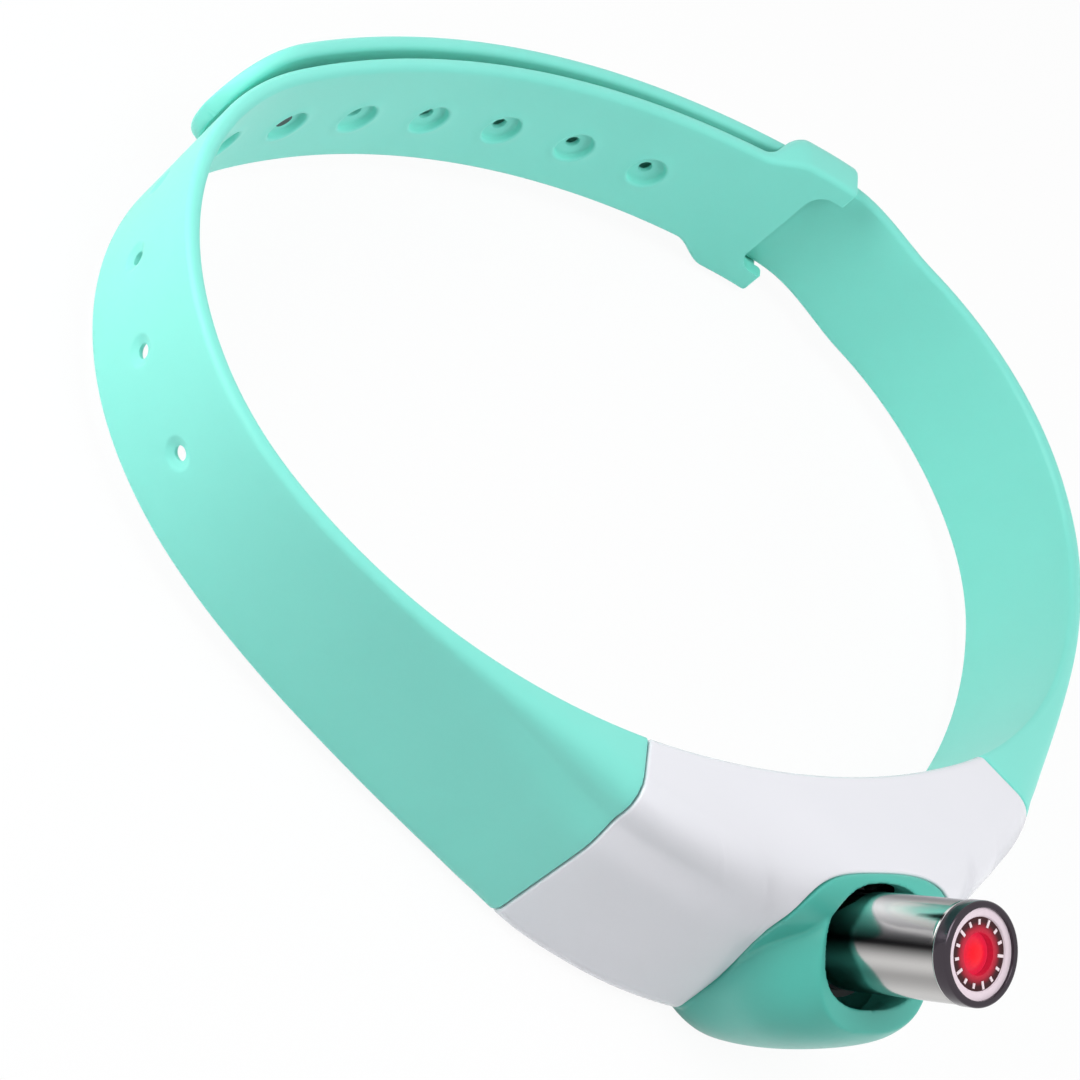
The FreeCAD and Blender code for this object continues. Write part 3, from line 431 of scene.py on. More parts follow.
def half_width(run):
    """Half of the band's height: it grows from the back towards the pod."""
    far = min(abs(run), 2 * HALF_GIRTH - abs(run))
    side = BACK_HALF_W + (SIDE_HALF_W - BACK_HALF_W) * (1 - smooth(far, 70, 120))
    return side + 2.3 * (1 - smooth(far, 14, 66))


def rounded_outline(corners, radii):
    """Corner arcs of an outline that goes up inside, out along the top, down outside and back in."""
    arcs = []
    for i, corner in enumerate(corners):
        back = (corners[i - 1] - corner).normalized()
        ahead = (corners[(i + 1) % len(corners)] - corner).normalized()
        half = back.angle(ahead) / 2
        reach = radii[i] / math.tan(half)
        centre = corner + (back + ahead).normalized() * (radii[i] / math.sin(half))
        arcs.append((centre, corner + back * reach - centre, math.pi - 2 * half, corner + ahead * reach))
    return arcs


def outline_point(arcs, piece, share):
    """Point on an outline: even pieces are corner arcs and odd ones are the sides after them."""
    centre, start, sweep, end = arcs[piece // 2]
    if piece % 2 == 0:
        angle = -sweep * share
        c, s = math.cos(angle), math.sin(angle)
        return centre + Vector((start.x * c - start.y * s, start.x * s + start.y * c))
    following = arcs[(piece // 2 + 1) % len(arcs)]
    return end.lerp(following[0] + following[1], share)


def box_outline(inner, outer, low, high, radii, high_out=None):
    """Outline of a band: corners inner low, inner high, outer high, outer low."""
    top = high if high_out is None else high_out
    corners = [Vector((inner, low)), Vector((inner, high)), Vector((outer, top)), Vector((outer, low))]
    return rounded_outline(corners, radii)


ARC_STEPS = 6
FLAT_STEPS = 12
EDGE_STEPS = 2


def loop_marks():
    """Piece and share of every point of a section, with the first index of each piece."""
    marks = []
    first = {}
    for corner in range(4):
        first[2 * corner] = len(marks)
        marks += [(2 * corner, k / ARC_STEPS) for k in range(ARC_STEPS + 1)]
        first[2 * corner + 1] = len(marks) - 1
        steps = FLAT_STEPS if corner % 2 == 0 else EDGE_STEPS
        marks += [(2 * corner + 1, k / steps) for k in range(1, steps)]
    return marks, first


MARKS, FIRST = loop_marks()


def section(run, arcs):
    """A section as points in space, once round."""
    points = []
    for piece, share in MARKS:
        flat = outline_point(arcs, piece, share)
        points.append(on_band(run, flat.x, flat.y))
    return points


print("points round a section", len(MARKS))


# %% Skins made of grids
class Skin:
    """Collects grids of points in millimetres and makes one mesh of them."""

    def __init__(self):
        self.points = []
        self.faces = []

    def grid(self, rows, closed=False, around=False):
        """Quads between rows. closed joins each row's ends, and around joins the last row to the first."""
        start = len(self.points)
        width = len(rows[0])
        for row in rows:
            self.points.extend(row)
        for i in range(len(rows) if around else len(rows) - 1):
            here = start + i * width
            there = start + (i + 1) % len(rows) * width
            for j in range(width if closed else width - 1):
                k = (j + 1) % width
                self.faces.append((here + j, here + k, there + k, there + j))

    def cap(self, row):
        """One flat face over a closed row."""
        start = len(self.points)
        self.points.extend(row)
        self.faces.append(tuple(range(start, start + len(row))))

    def object(self, name, finish, sharp=38):
        mesh = bpy.data.meshes.new(name)
        mesh.from_pydata([tuple(value * MM for value in point) for point in self.points], [], self.faces)
        mesh.materials.append(finish)
        tidy_mesh(mesh, sharp)
        made = bpy.data.objects.new(name, mesh)
        bpy.context.scene.collection.objects.link(made)
        return made


def tidy_mesh(mesh, sharp):
    """Merge doubles, point the faces outwards and shade smooth up to an angle."""
    work = bmesh.new()
    work.from_mesh(mesh)
    bmesh.ops.remove_doubles(work, verts=work.verts, dist=0.002 * MM)
    bmesh.ops.dissolve_degenerate(work, edges=work.edges, dist=0.001 * MM)
    bmesh.ops.recalc_face_normals(work, faces=work.faces)
    work.to_mesh(mesh)
    work.free()
    mesh.shade_smooth()
    mesh.set_sharp_from_angle(angle=math.radians(sharp))


def apply_modifiers(piece, sharp=38):
    """Make the evaluated mesh of a piece its own, and drop the modifiers."""
    graph = bpy.context.evaluated_depsgraph_get()
    mesh = bpy.data.meshes.new_from_object(piece.evaluated_get(graph))
    piece.modifiers.clear()
    piece.data = mesh
    tidy_mesh(mesh, sharp)
    return piece


def cut(piece, cutter):
    """Take a cutter out of a piece, exactly, and remove the cutter."""
    modifier = piece.modifiers.new("cut", "BOOLEAN")
    modifier.operation = "DIFFERENCE"
    modifier.solver = "EXACT"
    modifier.object = cutter
    apply_modifiers(piece)
    bpy.data.objects.remove(cutter)
    return piece


def joined(first, second):
    """Both meshes in the first object."""
    work = bmesh.new()
    work.from_mesh(first.data)
    work.from_mesh(second.data)
    work.to_mesh(first.data)
    work.free()
    bpy.data.objects.remove(second)
    return first


def place_piece(piece, body, slot, *replaced):
    """Let a piece ride on its body and stand for CAD nodes, which are hidden. The slot is not used."""
    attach(piece, body)
    if replaced:
        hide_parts(*replaced)
    print(piece.name, "faces", len(piece.data.polygons))
    return piece


# %% [markdown]
# ## The fairing
# The pod and the first stretch of both straps share one outer form, so that the collar looks like
# one sweep from silicone into plastic. It is drawn once as a depth that changes along the run, and
# later split at the pod's two end planes.

# %% The fairing that pod and straps share
FAIRING_RUNS = (0, 3, 6, 9, 12.5, 16, 20, 24, 28, 33, 39, 46, 54)
FAIRING_DEPTH = (13.4, 13.35, 13.15, 12.6, 11.7, 10.5, 8.9, 6.8, 4.8, 3.1, 1.9, BAND_T, BAND_T)
POD_END_ANGLE = 32.6
SWELL_DEPTH = 5.5


def depth_at(run):
    """Depth of the fairing at a run, by a smooth curve through the drawn depths."""
    run = abs(run)
    if run >= FAIRING_RUNS[-1]:
        return BAND_T
    i = next(k for k in range(len(FAIRING_RUNS) - 1) if run <= FAIRING_RUNS[k + 1])
    slopes = []
    for k in (i, i + 1):
        before, after = max(k - 1, 0), min(k + 1, len(FAIRING_RUNS) - 1)
        slope = (FAIRING_DEPTH[after] - FAIRING_DEPTH[before]) / (FAIRING_RUNS[after] - FAIRING_RUNS[before])
        slopes.append(slope if k else 0.0)
    span = FAIRING_RUNS[i + 1] - FAIRING_RUNS[i]
    t = (run - FAIRING_RUNS[i]) / span
    return (FAIRING_DEPTH[i] * (2 * t ** 3 - 3 * t ** 2 + 1) + slopes[0] * span * (t ** 3 - 2 * t ** 2 + t)
            + FAIRING_DEPTH[i + 1] * (3 * t ** 2 - 2 * t ** 3) + slopes[1] * span * (t ** 3 - t ** 2))


def swell_at(run):
    """How much fuller than the plain band the fairing is, from 0 on the band to 1 on the pod."""
    return min(max((depth_at(run) - BAND_T) / SWELL_DEPTH, 0.0), 1.0)


@functools.lru_cache(maxsize=20000)
def fairing_outline(run, inset=0.0):
    """Outline of the fairing at a run, drawn in by inset."""
    depth = depth_at(run)
    swell = swell_at(run)
    high = half_width(run) - inset
    low = -half_width(run) + inset
    top = high + 0.9 * swell + 0.6 * (1 - smooth(abs(run), 0, 14))
    small = BAND_EDGE_R - min(inset, 0.35)
    radii = (small, small, max(BAND_EDGE_R + 3.1 * swell - inset, 0.25), max(BAND_EDGE_R + 1.4 * swell - inset, 0.25))
    return box_outline(inset, depth - inset, low, high, radii, top)


VALLEY_DEPTH = 1.1
VALLEY_HALF_W = 2.1
VALLEY_ABOVE = 0.7


def past_top_corner(arcs, piece, share):
    """Way along the outline past the end of its upper outer corner, below 0 before that end."""
    corner = arcs[2]
    corner_length = corner[1].length * corner[2]
    if piece == 3:
        return -corner_length - (1 - share) * (corner[0] + corner[1] - arcs[1][3]).length
    if piece == 4:
        return -(1 - share) * corner_length
    if piece == 5:
        return share * (arcs[3][0] + arcs[3][1] - corner[3]).length
    return None


def valley(run, arcs, piece, share):
    """Depth of the shallow trough under the upper corner, which fades along both wings."""
    past = past_top_corner(arcs, piece, share)
    if past is None:
        return 0.0
    swell = swell_at(run)
    along = smooth(abs(run), 6, 17) * swell ** 0.8
    half = VALLEY_HALF_W * (0.45 + 0.55 * swell)
    return VALLEY_DEPTH * along * math.exp(-((past + VALLEY_ABOVE * swell) / half) ** 2)


def fairing_point(run, piece, share, inset=0.0):
    arcs = fairing_outline(run, inset)
    flat = outline_point(arcs, piece, share)
    inwards = (arcs[2][0] - flat).normalized() if piece == 4 else Vector((-1.0 if piece == 5 else 0.0, 0.0))
    flat = flat + inwards * valley(run, arcs, piece, share)
    return on_band(run, flat.x, flat.y)


def beyond_end_plane(point):
    """Distance past the pod's end plane, measured square to it, on either side."""
    angle = math.radians(POD_END_ANGLE)
    return abs(point.x) * math.cos(angle) + point.y * math.sin(angle)


def run_at_plane(piece, share, beyond, inset=0.0):
    """Run where a line of the fairing lies at a distance past the end plane."""
    low, high = 8.0, 40.0
    for _ in range(26):
        middle = (low + high) / 2
        if beyond_end_plane(fairing_point(middle, piece, share, inset)) < beyond:
            low = middle
        else:
            high = middle
    return low


print("depths", [round(depth_at(run), 2) for run in (0, 10, 20, 30, 40, 50)])

# %% [markdown]
# ## Band, holes and keeper of the left strap
# The left strap starts as the fairing's end, runs on as a plain band with eleven stepped holes, and
# ends in the keeper loop. The holes could be cut with a boolean, but then the smooth shading round
# them would break. Here each hole has a square cell of its own: rings of points start on the cell's
# border, round the raised rim, drop into the sink and pass through to the outer face.

# %% Rows of a strap
HOLE_COUNT = 11
HOLE_PITCH = 9.0
FIRST_HOLE = 62.7
STUD_HOLE = 5
HOLE_Z = -0.7
SEAM = 0.12
EDGE_ROUND = 0.28
BAND_START = FIRST_HOLE - HOLE_PITCH / 2
ROOT_ROWS = 42
ROUND_ROWS = 5


def band_outline(run, narrower=0.0, out=0.0):
    half = half_width(run) - narrower
    return box_outline(out, out + BAND_T, -half, half, (BAND_EDGE_R,) * 4)


def root_rows(side, last):
    """Rows from the middle of the end face's edge, round the edge, and along the fairing to a run."""
    starts = [run_at_plane(piece, share, SEAM + EDGE_ROUND) for piece, share in MARKS]
    rows = []
    for i in range(ROUND_ROWS):
        angle = math.pi / 2 * (1 - i / ROUND_ROWS)
        beyond = SEAM + EDGE_ROUND * (1 - math.sin(angle))
        inset = EDGE_ROUND * (1 - math.cos(angle))
        rows.append([fairing_point(side * run_at_plane(piece, share, beyond, inset), piece, share, inset)
                     for piece, share in MARKS])
    for i in range(ROOT_ROWS + 1):
        far = (i / ROOT_ROWS) ** 1.15
        rows.append([fairing_point(side * (start + (last - start) * far), piece, share)
                     for start, (piece, share) in zip(starts, MARKS)])
    return rows


def between(first, last, step):
    count = max(math.ceil(abs(last - first) / step), 1)
    return [first + (last - first) * i / count for i in range(count + 1)]


# %% One hole with its sink and rim
RIM_RISE = 0.08
CELL_STEPS = 12
INSIDE_RINGS = ((3.1, 0.0), (2.5, -0.02), (2.25, -RIM_RISE), (2.1, -RIM_RISE), (1.98, -0.03), (1.92, 0.06),
                (1.88, 0.35), (1.83, 0.52), (1.72, 0.6), (1.15, 0.6), (0.92, 0.62), (0.7, 0.68), (0.6, 0.9))
OUTSIDE_RINGS = ((3.1, BAND_T), (2.0, BAND_T), (1.5, BAND_T), (1.34, 1.38), (1.2, 1.31), (1.02, 1.21),
                 (0.74, 1.14), (0.62, 1.07), (0.6, 0.9))


def cell_border(hole, piece):
    """Run and height of the points round a cell, 12 on each side, with 0 at the low near corner."""
    shares = [i / CELL_STEPS for i in range(CELL_STEPS)]
    half = HOLE_PITCH / 2
    places = [(-half + 2 * half * s, 0.0) for s in shares] + [(half, s) for s in shares]
    places += [(half - 2 * half * s, 1.0) for s in shares] + [(-half, 1.0 - s) for s in shares]
    border = []
    for along, share in places:
        flat = outline_point(band_outline(hole + along), piece, share)
        border.append((hole + along, flat.y))
    return border


def cell_rings(hole, piece, rings):
    """Rings from a cell's border down into the hole, on the inner face (piece 1) or the outer (5)."""
    border = cell_border(hole, piece)
    face = rings[0][1]
    rows = [[on_band(run, face, z) for run, z in border]]
    for fill in (0.33, 0.66, 1.0):
        rows.append([])
        for run, z in border:
            away = Vector((run - hole, z - HOLE_Z))
            place = away.lerp(away.normalized() * rings[0][0], fill)
            rows[-1].append(on_band(hole + place.x, face, HOLE_Z + place.y))
    for radius, out in rings[1:]:
        rows.append([])
        for run, z in border:
            away = Vector((run - hole, z - HOLE_Z)).normalized() * radius
            rows[-1].append(on_band(hole + away.x, out, HOLE_Z + away.y))
    return rows


def add_holes(skin):
    """The stretch of the left strap that holds the cells: their faces, and both edges beside them."""
    for i in range(HOLE_COUNT):
        hole = -(FIRST_HOLE + HOLE_PITCH * i)
        skin.grid(cell_rings(hole, 1, INSIDE_RINGS), closed=True)
        skin.grid(cell_rings(hole, 5, OUTSIDE_RINGS), closed=True)
    runs = between(-BAND_START, -BAND_START - HOLE_PITCH * HOLE_COUNT, HOLE_PITCH / CELL_STEPS)
    loops = [section(run, band_outline(run)) for run in runs]
    skin.grid([loop[FIRST[2]:FIRST[5] + 1] for loop in loops])
    skin.grid([loop[FIRST[6]:] + loop[:FIRST[1] + 1] for loop in loops])
    return runs[-1]


# %% The keeper loop
KEEPER_MOUTH = 101.0 - 2 * HALF_GIRTH
KEEPER_LENGTH = 5.5
KEEPER_FLARE = 4.8
KEEPER_LOW = -8.8
KEEPER_HIGH = 8.4
KEEPER_WALL = 0.9
KEEPER_CORNER = 2.2
LAYER_OUT = 2.4
SLOT_OUT = LAYER_OUT + BAND_T + 0.3
SLOT_HALF_W = 7.0
LIP_CUT_BACK = 3.2
LIP_CUT_HALF_W = 6.2
MOUTH_ROUND = 0.4


def keeper_outline(back, inset=0.0):
    """Outer outline of the keeper at a distance back from its mouth, which flares into the band."""
    share = smooth(back, KEEPER_LENGTH, KEEPER_LENGTH + KEEPER_FLARE)
    half = half_width(KEEPER_MOUTH + back)
    low = KEEPER_LOW + (-half - KEEPER_LOW) * share + inset
    high = KEEPER_HIGH + (half - KEEPER_HIGH) * share - inset
    top = SLOT_OUT + KEEPER_WALL + (BAND_T - SLOT_OUT - KEEPER_WALL) * share - inset
    corner = KEEPER_CORNER + (BAND_EDGE_R - KEEPER_CORNER) * share - inset
    inner = BAND_EDGE_R - min(inset, 0.35)
    return box_outline(inset, top, low, high, (inner, inner, corner, corner))


def add_keeper(skin, start):
    """From the last hole's cell to the mouth, closed there with a rounded edge and a flat face."""
    reach = KEEPER_LENGTH + KEEPER_FLARE
    backs = between(start - KEEPER_MOUTH, reach, 1.0) + between(reach, KEEPER_LENGTH, 0.22)[1:]
    backs += between(KEEPER_LENGTH, MOUTH_ROUND, 0.5)[1:]
    rows = [section(KEEPER_MOUTH + back, keeper_outline(back)) for back in backs]
    for i in range(1, ROUND_ROWS + 1):
        angle = math.pi / 2 * i / ROUND_ROWS
        back = MOUTH_ROUND * (1 - math.sin(angle))
        rows.append(section(KEEPER_MOUTH + back, keeper_outline(back, MOUTH_ROUND * (1 - math.cos(angle)))))
    skin.grid(rows, closed=True)
    skin.cap(rows[-1])


def slot_cutter():
    """The slot for the tongue. It widens in a quarter round at the mouth, which rounds the lip."""
    cutter = Skin()
    rows = []
    steps = [(-1.0, MOUTH_ROUND)]
    for i in range(ROUND_ROWS + 1):
        angle = math.pi / 2 * i / ROUND_ROWS
        steps.append((MOUTH_ROUND * (1 - math.cos(angle)), MOUTH_ROUND * (1 - math.sin(angle))))
    steps += [(back, 0.0) for back in between(0.8, KEEPER_LENGTH + KEEPER_FLARE + 3.0, 0.6)]
    for back, grow in steps:
        outline = box_outline(BAND_T - grow, SLOT_OUT + grow, -SLOT_HALF_W - grow, SLOT_HALF_W + grow,
                              (0.4 + grow,) * 4)
        rows.append(section(KEEPER_MOUTH + back, outline))
    cutter.grid(rows, closed=True)
    cutter.cap(rows[0])
    cutter.cap(rows[-1])
    return cutter.object("slot_cutter", SILICONE)


def lip_cutter():
    """Takes back the inner wall at the mouth, so that the tongue can be pushed in from the neck side."""
    cutter = Skin()
    corner = 2.0
    outline = [(-1.0, -LIP_CUT_HALF_W), (-1.0, LIP_CUT_HALF_W), (LIP_CUT_BACK - corner, LIP_CUT_HALF_W)]
    for side in (1, -1):
        turns = range(1, 9) if side > 0 else range(7, -1, -1)
        for i in turns:
            angle = math.pi / 2 * i / 8
            outline.append((LIP_CUT_BACK - corner + corner * math.sin(angle),
                            side * (LIP_CUT_HALF_W - corner + corner * math.cos(angle))))
    rows = [[on_band(KEEPER_MOUTH + back, out, z) for back, z in outline] for out in (-1.0, BAND_T + 0.5)]
    cutter.grid(rows, closed=True)
    cutter.cap(rows[0])
    cutter.cap(rows[1])
    return cutter.object("lip_cutter", SILICONE)


# %% The left strap
def left_strap():
    skin = Skin()
    rows = root_rows(-1, BAND_START)
    skin.cap(rows[0])
    skin.grid(rows, closed=True)
    add_keeper(skin, add_holes(skin))
    strap = skin.object("left_strap_skin", SILICONE)
    cut(strap, slot_cutter())
    cut(strap, lip_cutter())
    return place_piece(strap, "collar", "strap_silicone", "left_strap")


left_strap()

# %% [markdown]
# ## The tongue
# The other strap passes through the keeper and lies outside the left one, held by a stud. Its end
# bends outwards to unfasten. Here it is one mesh from the pod to the rounded end.

# %% The tongue strap with its end
RISE_START = 90.0
RISE_END = 100.0
TONGUE_NARROWER = 0.1
STUD_RUN = 2 * HALF_GIRTH - (FIRST_HOLE + HOLE_PITCH * STUD_HOLE)
HINGE_RUN = STUD_RUN - 11.0
TONGUE_END = STUD_RUN + 8.0
TIP_ROWS = 16
BLEND_REACH = 3.0


def tongue_outline(run, share=1.0):
    """Outline of the tongue at a run, with its width taken down to a share of itself near the end."""
    narrower = TONGUE_NARROWER * smooth(run, 60, RISE_START)
    half = half_width(run) - narrower
    out = LAYER_OUT * smooth(run, RISE_START, RISE_END)
    half *= share
    edge = min(BAND_EDGE_R, half * 0.95)
    return box_outline(out, out + BAND_T, -half, half, (edge,) * 4)


def tongue():
    skin = Skin()
    rows = root_rows(1, BAND_START)
    skin.cap(rows[0])
    end_half = half_width(STUD_RUN) - TONGUE_NARROWER
    round_start = TONGUE_END - end_half
    runs = between(BAND_START, round_start, 1.0)[1:]
    rows += [section(run, tongue_outline(run)) for run in runs]
    for i in range(1, TIP_ROWS):
        angle = math.pi / 2 * i / TIP_ROWS
        run = round_start + end_half * math.sin(angle)
        rows.append(section(run, tongue_outline(run, math.cos(angle))))
    skin.grid(rows, closed=True)
    skin.cap(rows[-1])
    strap = skin.object("tongue_skin", SILICONE)
    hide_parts("tongue_strap", "tongue_tip")
    start, end = (on_band(HINGE_RUN + reach, LAYER_OUT, 0) * MM for reach in (-BLEND_REACH, BLEND_REACH))
    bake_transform(strap)
    print(strap.name, "faces", len(strap.data.polygons))
    return strap


tongue()

# %% [markdown]
# ## The laser head
# The barrel is a plated tube, and its long light and dark bands are painted reflections in the
# plate's colour. The bezel is dark plate with the bright plate on its back edge, which draws a bright
# rim there as a painted highlight. Turned parts like these come off a lathe, and are made the same
# way here: a half outline is carried round the laser's line. The line is drawn straight ahead first
# and then swung a little, because the barrel rests off centre.

# %% The laser's line and a lathe
LASER_TILT = math.radians(29.4)
FACE = Vector((0, -53.6, 18.1))
REST_SWING = math.radians(-4.0)
LASER_DIR = Vector((0, -math.sin(LASER_TILT), math.cos(LASER_TILT)))
LASER_UP = Vector((0, math.cos(LASER_TILT), math.sin(LASER_TILT)))
swing_joint = next(joint for joint in frame["joints"] if joint["name"] == "laser_swing")
PIVOT = Vector(swing_joint["pos_m"]) / MM
SWING = Matrix.Translation(PIVOT) @ Matrix.Rotation(REST_SWING, 4, "Z") @ Matrix.Translation(-PIVOT)
LATHE_STEPS = 144


def on_laser(back, up=0.0, x=0.0):
    """Point behind the barrel's face, up across the laser's line and sideways, before the swing."""
    return FACE - LASER_DIR * back + LASER_UP * up + Vector((x, 0, 0))


def ring_on_laser(radius, back):
    points = []
    for i in range(LATHE_STEPS):
        angle = 2 * math.pi * i / LATHE_STEPS
        points.append(SWING @ on_laser(back, radius * math.cos(angle), radius * math.sin(angle)))
    return points


def arc(centre, radius, first, last, steps=6):
    """Part of a circle in an outline, as (radius, back) pairs, with angles from outwards to backwards."""
    turns = [math.radians(first + (last - first) * i / steps) for i in range(steps + 1)]
    return [(centre[0] + radius * math.cos(turn), centre[1] + radius * math.sin(turn)) for turn in turns]


def turned(name, profile, finish):
    """A ring turned from a closed half outline."""
    skin = Skin()
    skin.grid([ring_on_laser(radius, back) for radius, back in profile], closed=True, around=True)
    return skin.object(name, finish)


# %% Barrel and bezel
BARREL_R = 4.1
BARREL_BORE = 3.45
BARREL_END = 24.0
BEZEL_R = 4.19
BEZEL_BORE = 3.62
BEZEL_LENGTH = 1.6
BEZEL_DARK = 1.25

# The bands and the wedge are painted reflections: light and dark stripes along the tube where lamps and dark cards
# would show in polished plate, and a dark wedge by the bezel.
PAINTED_BANDS_FROM = -89
PAINTED_REFLECTION_BANDS = ((-90, 0.03), (-68, 0.12), (-44, 1.0), (-26, 0.55), (-4, 0.02), (1, 0.02), (19, 0.64), (36, 0.4),
                 (61, 0.6), (76, 0.4), (90, 0.03))
WEDGE_TURN = -38
WEDGE_HALF = 9
WEDGE_EDGE = 2.5
WEDGE_END = 5.0


def painted_reflection(turn, back):
    """Painted reflection at an angle round the tube: light and dark bands, with a dark wedge that starts at the bezel.
    """
    turn = (turn + 90) % 180 - 90
    half = WEDGE_HALF * (1 - smooth(back, -1.0, WEDGE_END))
    wedge = 1 - smooth(abs(turn - WEDGE_TURN), half - WEDGE_EDGE, half + WEDGE_EDGE) if half > 0.5 else 0.0
    return eased(PAINTED_REFLECTION_BANDS, turn)[0] * (1 - wedge)


def store_painted_reflection(piece):
    """Store the painted reflection's lightness at each point of the tube."""
    turned_back = SWING.inverted()
    values = []
    for vertex in piece.data.vertices:
        away = turned_back @ (vertex.co / MM) - FACE
        turn = PAINTED_BANDS_FROM - math.degrees(math.atan2(away.x, away.dot(LASER_UP)))
        values.append(painted_reflection(turn, -away.dot(LASER_DIR)))
    piece.data.attributes.new("lightness", "FLOAT", "POINT").data.foreach_set("value", values)


def reflection_painted_plate(name, dark, light):
    """Polished plate with painted reflections: its colour runs in light and dark bands along the tube."""
    paint = Paint(name)
    share = paint.node("ShaderNodeAttribute", {"attribute_name": "lightness"}, {}, "Fac")
    lines = paint.noise(0.22, 2, (1, 1, 1))
    paint.set({"Base Color": paint.mix(share, dark, light), "Metallic": 1.0, "Roughness": lines * 0.05 + 0.10})
    return paint.material


BARREL_PAINTED_PLATE = reflection_painted_plate("barrel_plate", srgb(30, 29, 30), srgb(236, 234, 232))
barrel = turned("barrel_tube", arc((BARREL_R - 0.2, BARREL_END - 0.2), 0.2, 90, 0)
                + [(BARREL_R, BARREL_END - 1 - i) for i in range(15)]
                + [(BARREL_R, 8.5 - 0.5 * i) for i in range(14)]
                + arc((BARREL_R - 0.12, BEZEL_LENGTH + 0.12), 0.12, 0, -90, 4)
                + [(BARREL_BORE, BEZEL_LENGTH), (BARREL_BORE, BARREL_END)], BARREL_PAINTED_PLATE)
store_painted_reflection(barrel)
bezel = turned("bezel_turned", [(BEZEL_BORE, BEZEL_LENGTH)] + arc((BEZEL_BORE + 0.15, 0.15), 0.15, 180, 270)
               + arc((BEZEL_R - 0.3, 0.3), 0.3, 270, 360, 10) + [(BEZEL_R, 1.0)]
               + arc((BEZEL_R - 0.2, BEZEL_LENGTH - 0.2), 0.2, 0, 90, 4), CHROME)
# The bezel is dark plate towards its face and keeps the bright plate only on its back edge, which draws a bright rim
# there: a painted highlight.
bezel.data.materials.append(DARK_CHROME)
face_centre = SWING @ on_laser(0) * MM
for polygon in bezel.data.polygons:
    behind_face = (face_centre - polygon.center).dot(SWING.to_3x3() @ LASER_DIR) / MM
    polygon.material_index = 1 if behind_face < BEZEL_DARK else 0
place_piece(barrel, "laser_head", "barrel_chrome", "laser_barrel")
place_piece(bezel, "laser_head", "bezel_chrome", "bezel_ring")

# %% [markdown]
# ## The face and the lens
# Inside the bezel a pale ring frames a dark red field with marks, round a window that glows. The
# marks are plain ticks, as on any dial. Geometry Nodes set them out: a circle of points carries
# one small bar each, turned to point at the middle.

# %% Glowing finishes that fade outwards
def glow(name, near, far, inner, outer, strength):
    """A glow whose colour goes from near to far with the stored distance from the middle."""
    paint = Paint(name)
    distance = paint.node("ShaderNodeAttribute", {"attribute_name": "from_middle"}, {}, "Fac")
    share = distance.between(inner, outer)
    speck = paint.noise(0.25, 2)
    colour = paint.mix(share, near, far)
    paint.set({"Base Color": paint.mix(speck * 0.3 + 0.6, colour, srgb(20, 4, 6)), "Emission Color": colour,
               "Emission Strength": strength, "Roughness": speck * 0.1 + 0.3, "Specular IOR Level": 0.25})
    return paint.material


def mark_distance(piece, steps=LATHE_STEPS):
    """Store each point's distance from the laser's line, in millimetres."""
    line_start = SWING @ on_laser(0)
    along = (SWING.to_3x3() @ LASER_DIR)
    values = []
    for vertex in piece.data.vertices:
        away = vertex.co / MM - line_start
        values.append((away - along * away.dot(along)).length)
    attribute = piece.data.attributes.new("from_middle", "FLOAT", "POINT")
    attribute.data.foreach_set("value", values)


LENS_R = 1.7
RING_R = 3.0
PLATE_DEPTH = 0.35
PLATE_SUNK = 0.5
LENS_TOP = 0.75
# The field glows a little, brightest by the window and fading outwards: a painted glow on the field's own red.
FIELD = glow("red_field", srgb(226, 34, 66), srgb(58, 8, 18), LENS_R, 2.6, 0.5)
LENS = glow("red_lens", srgb(250, 0, 30), srgb(222, 38, 70), 0.3, LENS_R, 0.8)
PALE_RING = plain("pale_print", srgb(240, 222, 232), 0.3)
TICK = plain("white_print", srgb(250, 232, 238), 0.35)

plate = turned("face_field", [(LENS_R, BEZEL_LENGTH), (LENS_R, PLATE_SUNK), (2.1, PLATE_SUNK), (2.5, PLATE_SUNK),
                              (RING_R - 0.1, PLATE_SUNK), (RING_R - 0.02, PLATE_DEPTH + 0.03),
                              (RING_R + 0.04, PLATE_DEPTH), (BEZEL_BORE, PLATE_DEPTH),
                              (BEZEL_BORE, BEZEL_LENGTH)], FIELD)
mark_distance(plate)
plate.data.materials.append(PALE_RING)
for polygon in plate.data.polygons:
    reach = sum(plate.data.attributes["from_middle"].data[i].value for i in polygon.vertices) / len(polygon.vertices)
    polygon.material_index = 1 if reach > RING_R - 0.08 else 0

lens_skin = Skin()
lens_rows = [ring_on_laser(LENS_R - 0.02, BEZEL_LENGTH), ring_on_laser(LENS_R - 0.02, 1.15)]
for i in range(1, 9):
    radius = (LENS_R - 0.02) * math.cos(math.pi / 2 * i / 9)
    lens_rows.append(ring_on_laser(radius, LENS_TOP + 0.37 * (radius / LENS_R) ** 2))
lens_skin.cap(lens_rows[0])
lens_skin.grid(lens_rows, closed=True)
lens_skin.cap(lens_rows[-1])
lens = lens_skin.object("lens_dome", LENS, 60)
mark_distance(lens)
place_piece(plate, "laser_head", "face_red", "face_plate")
place_piece(lens, "laser_head", "lens_red", "laser_lens")


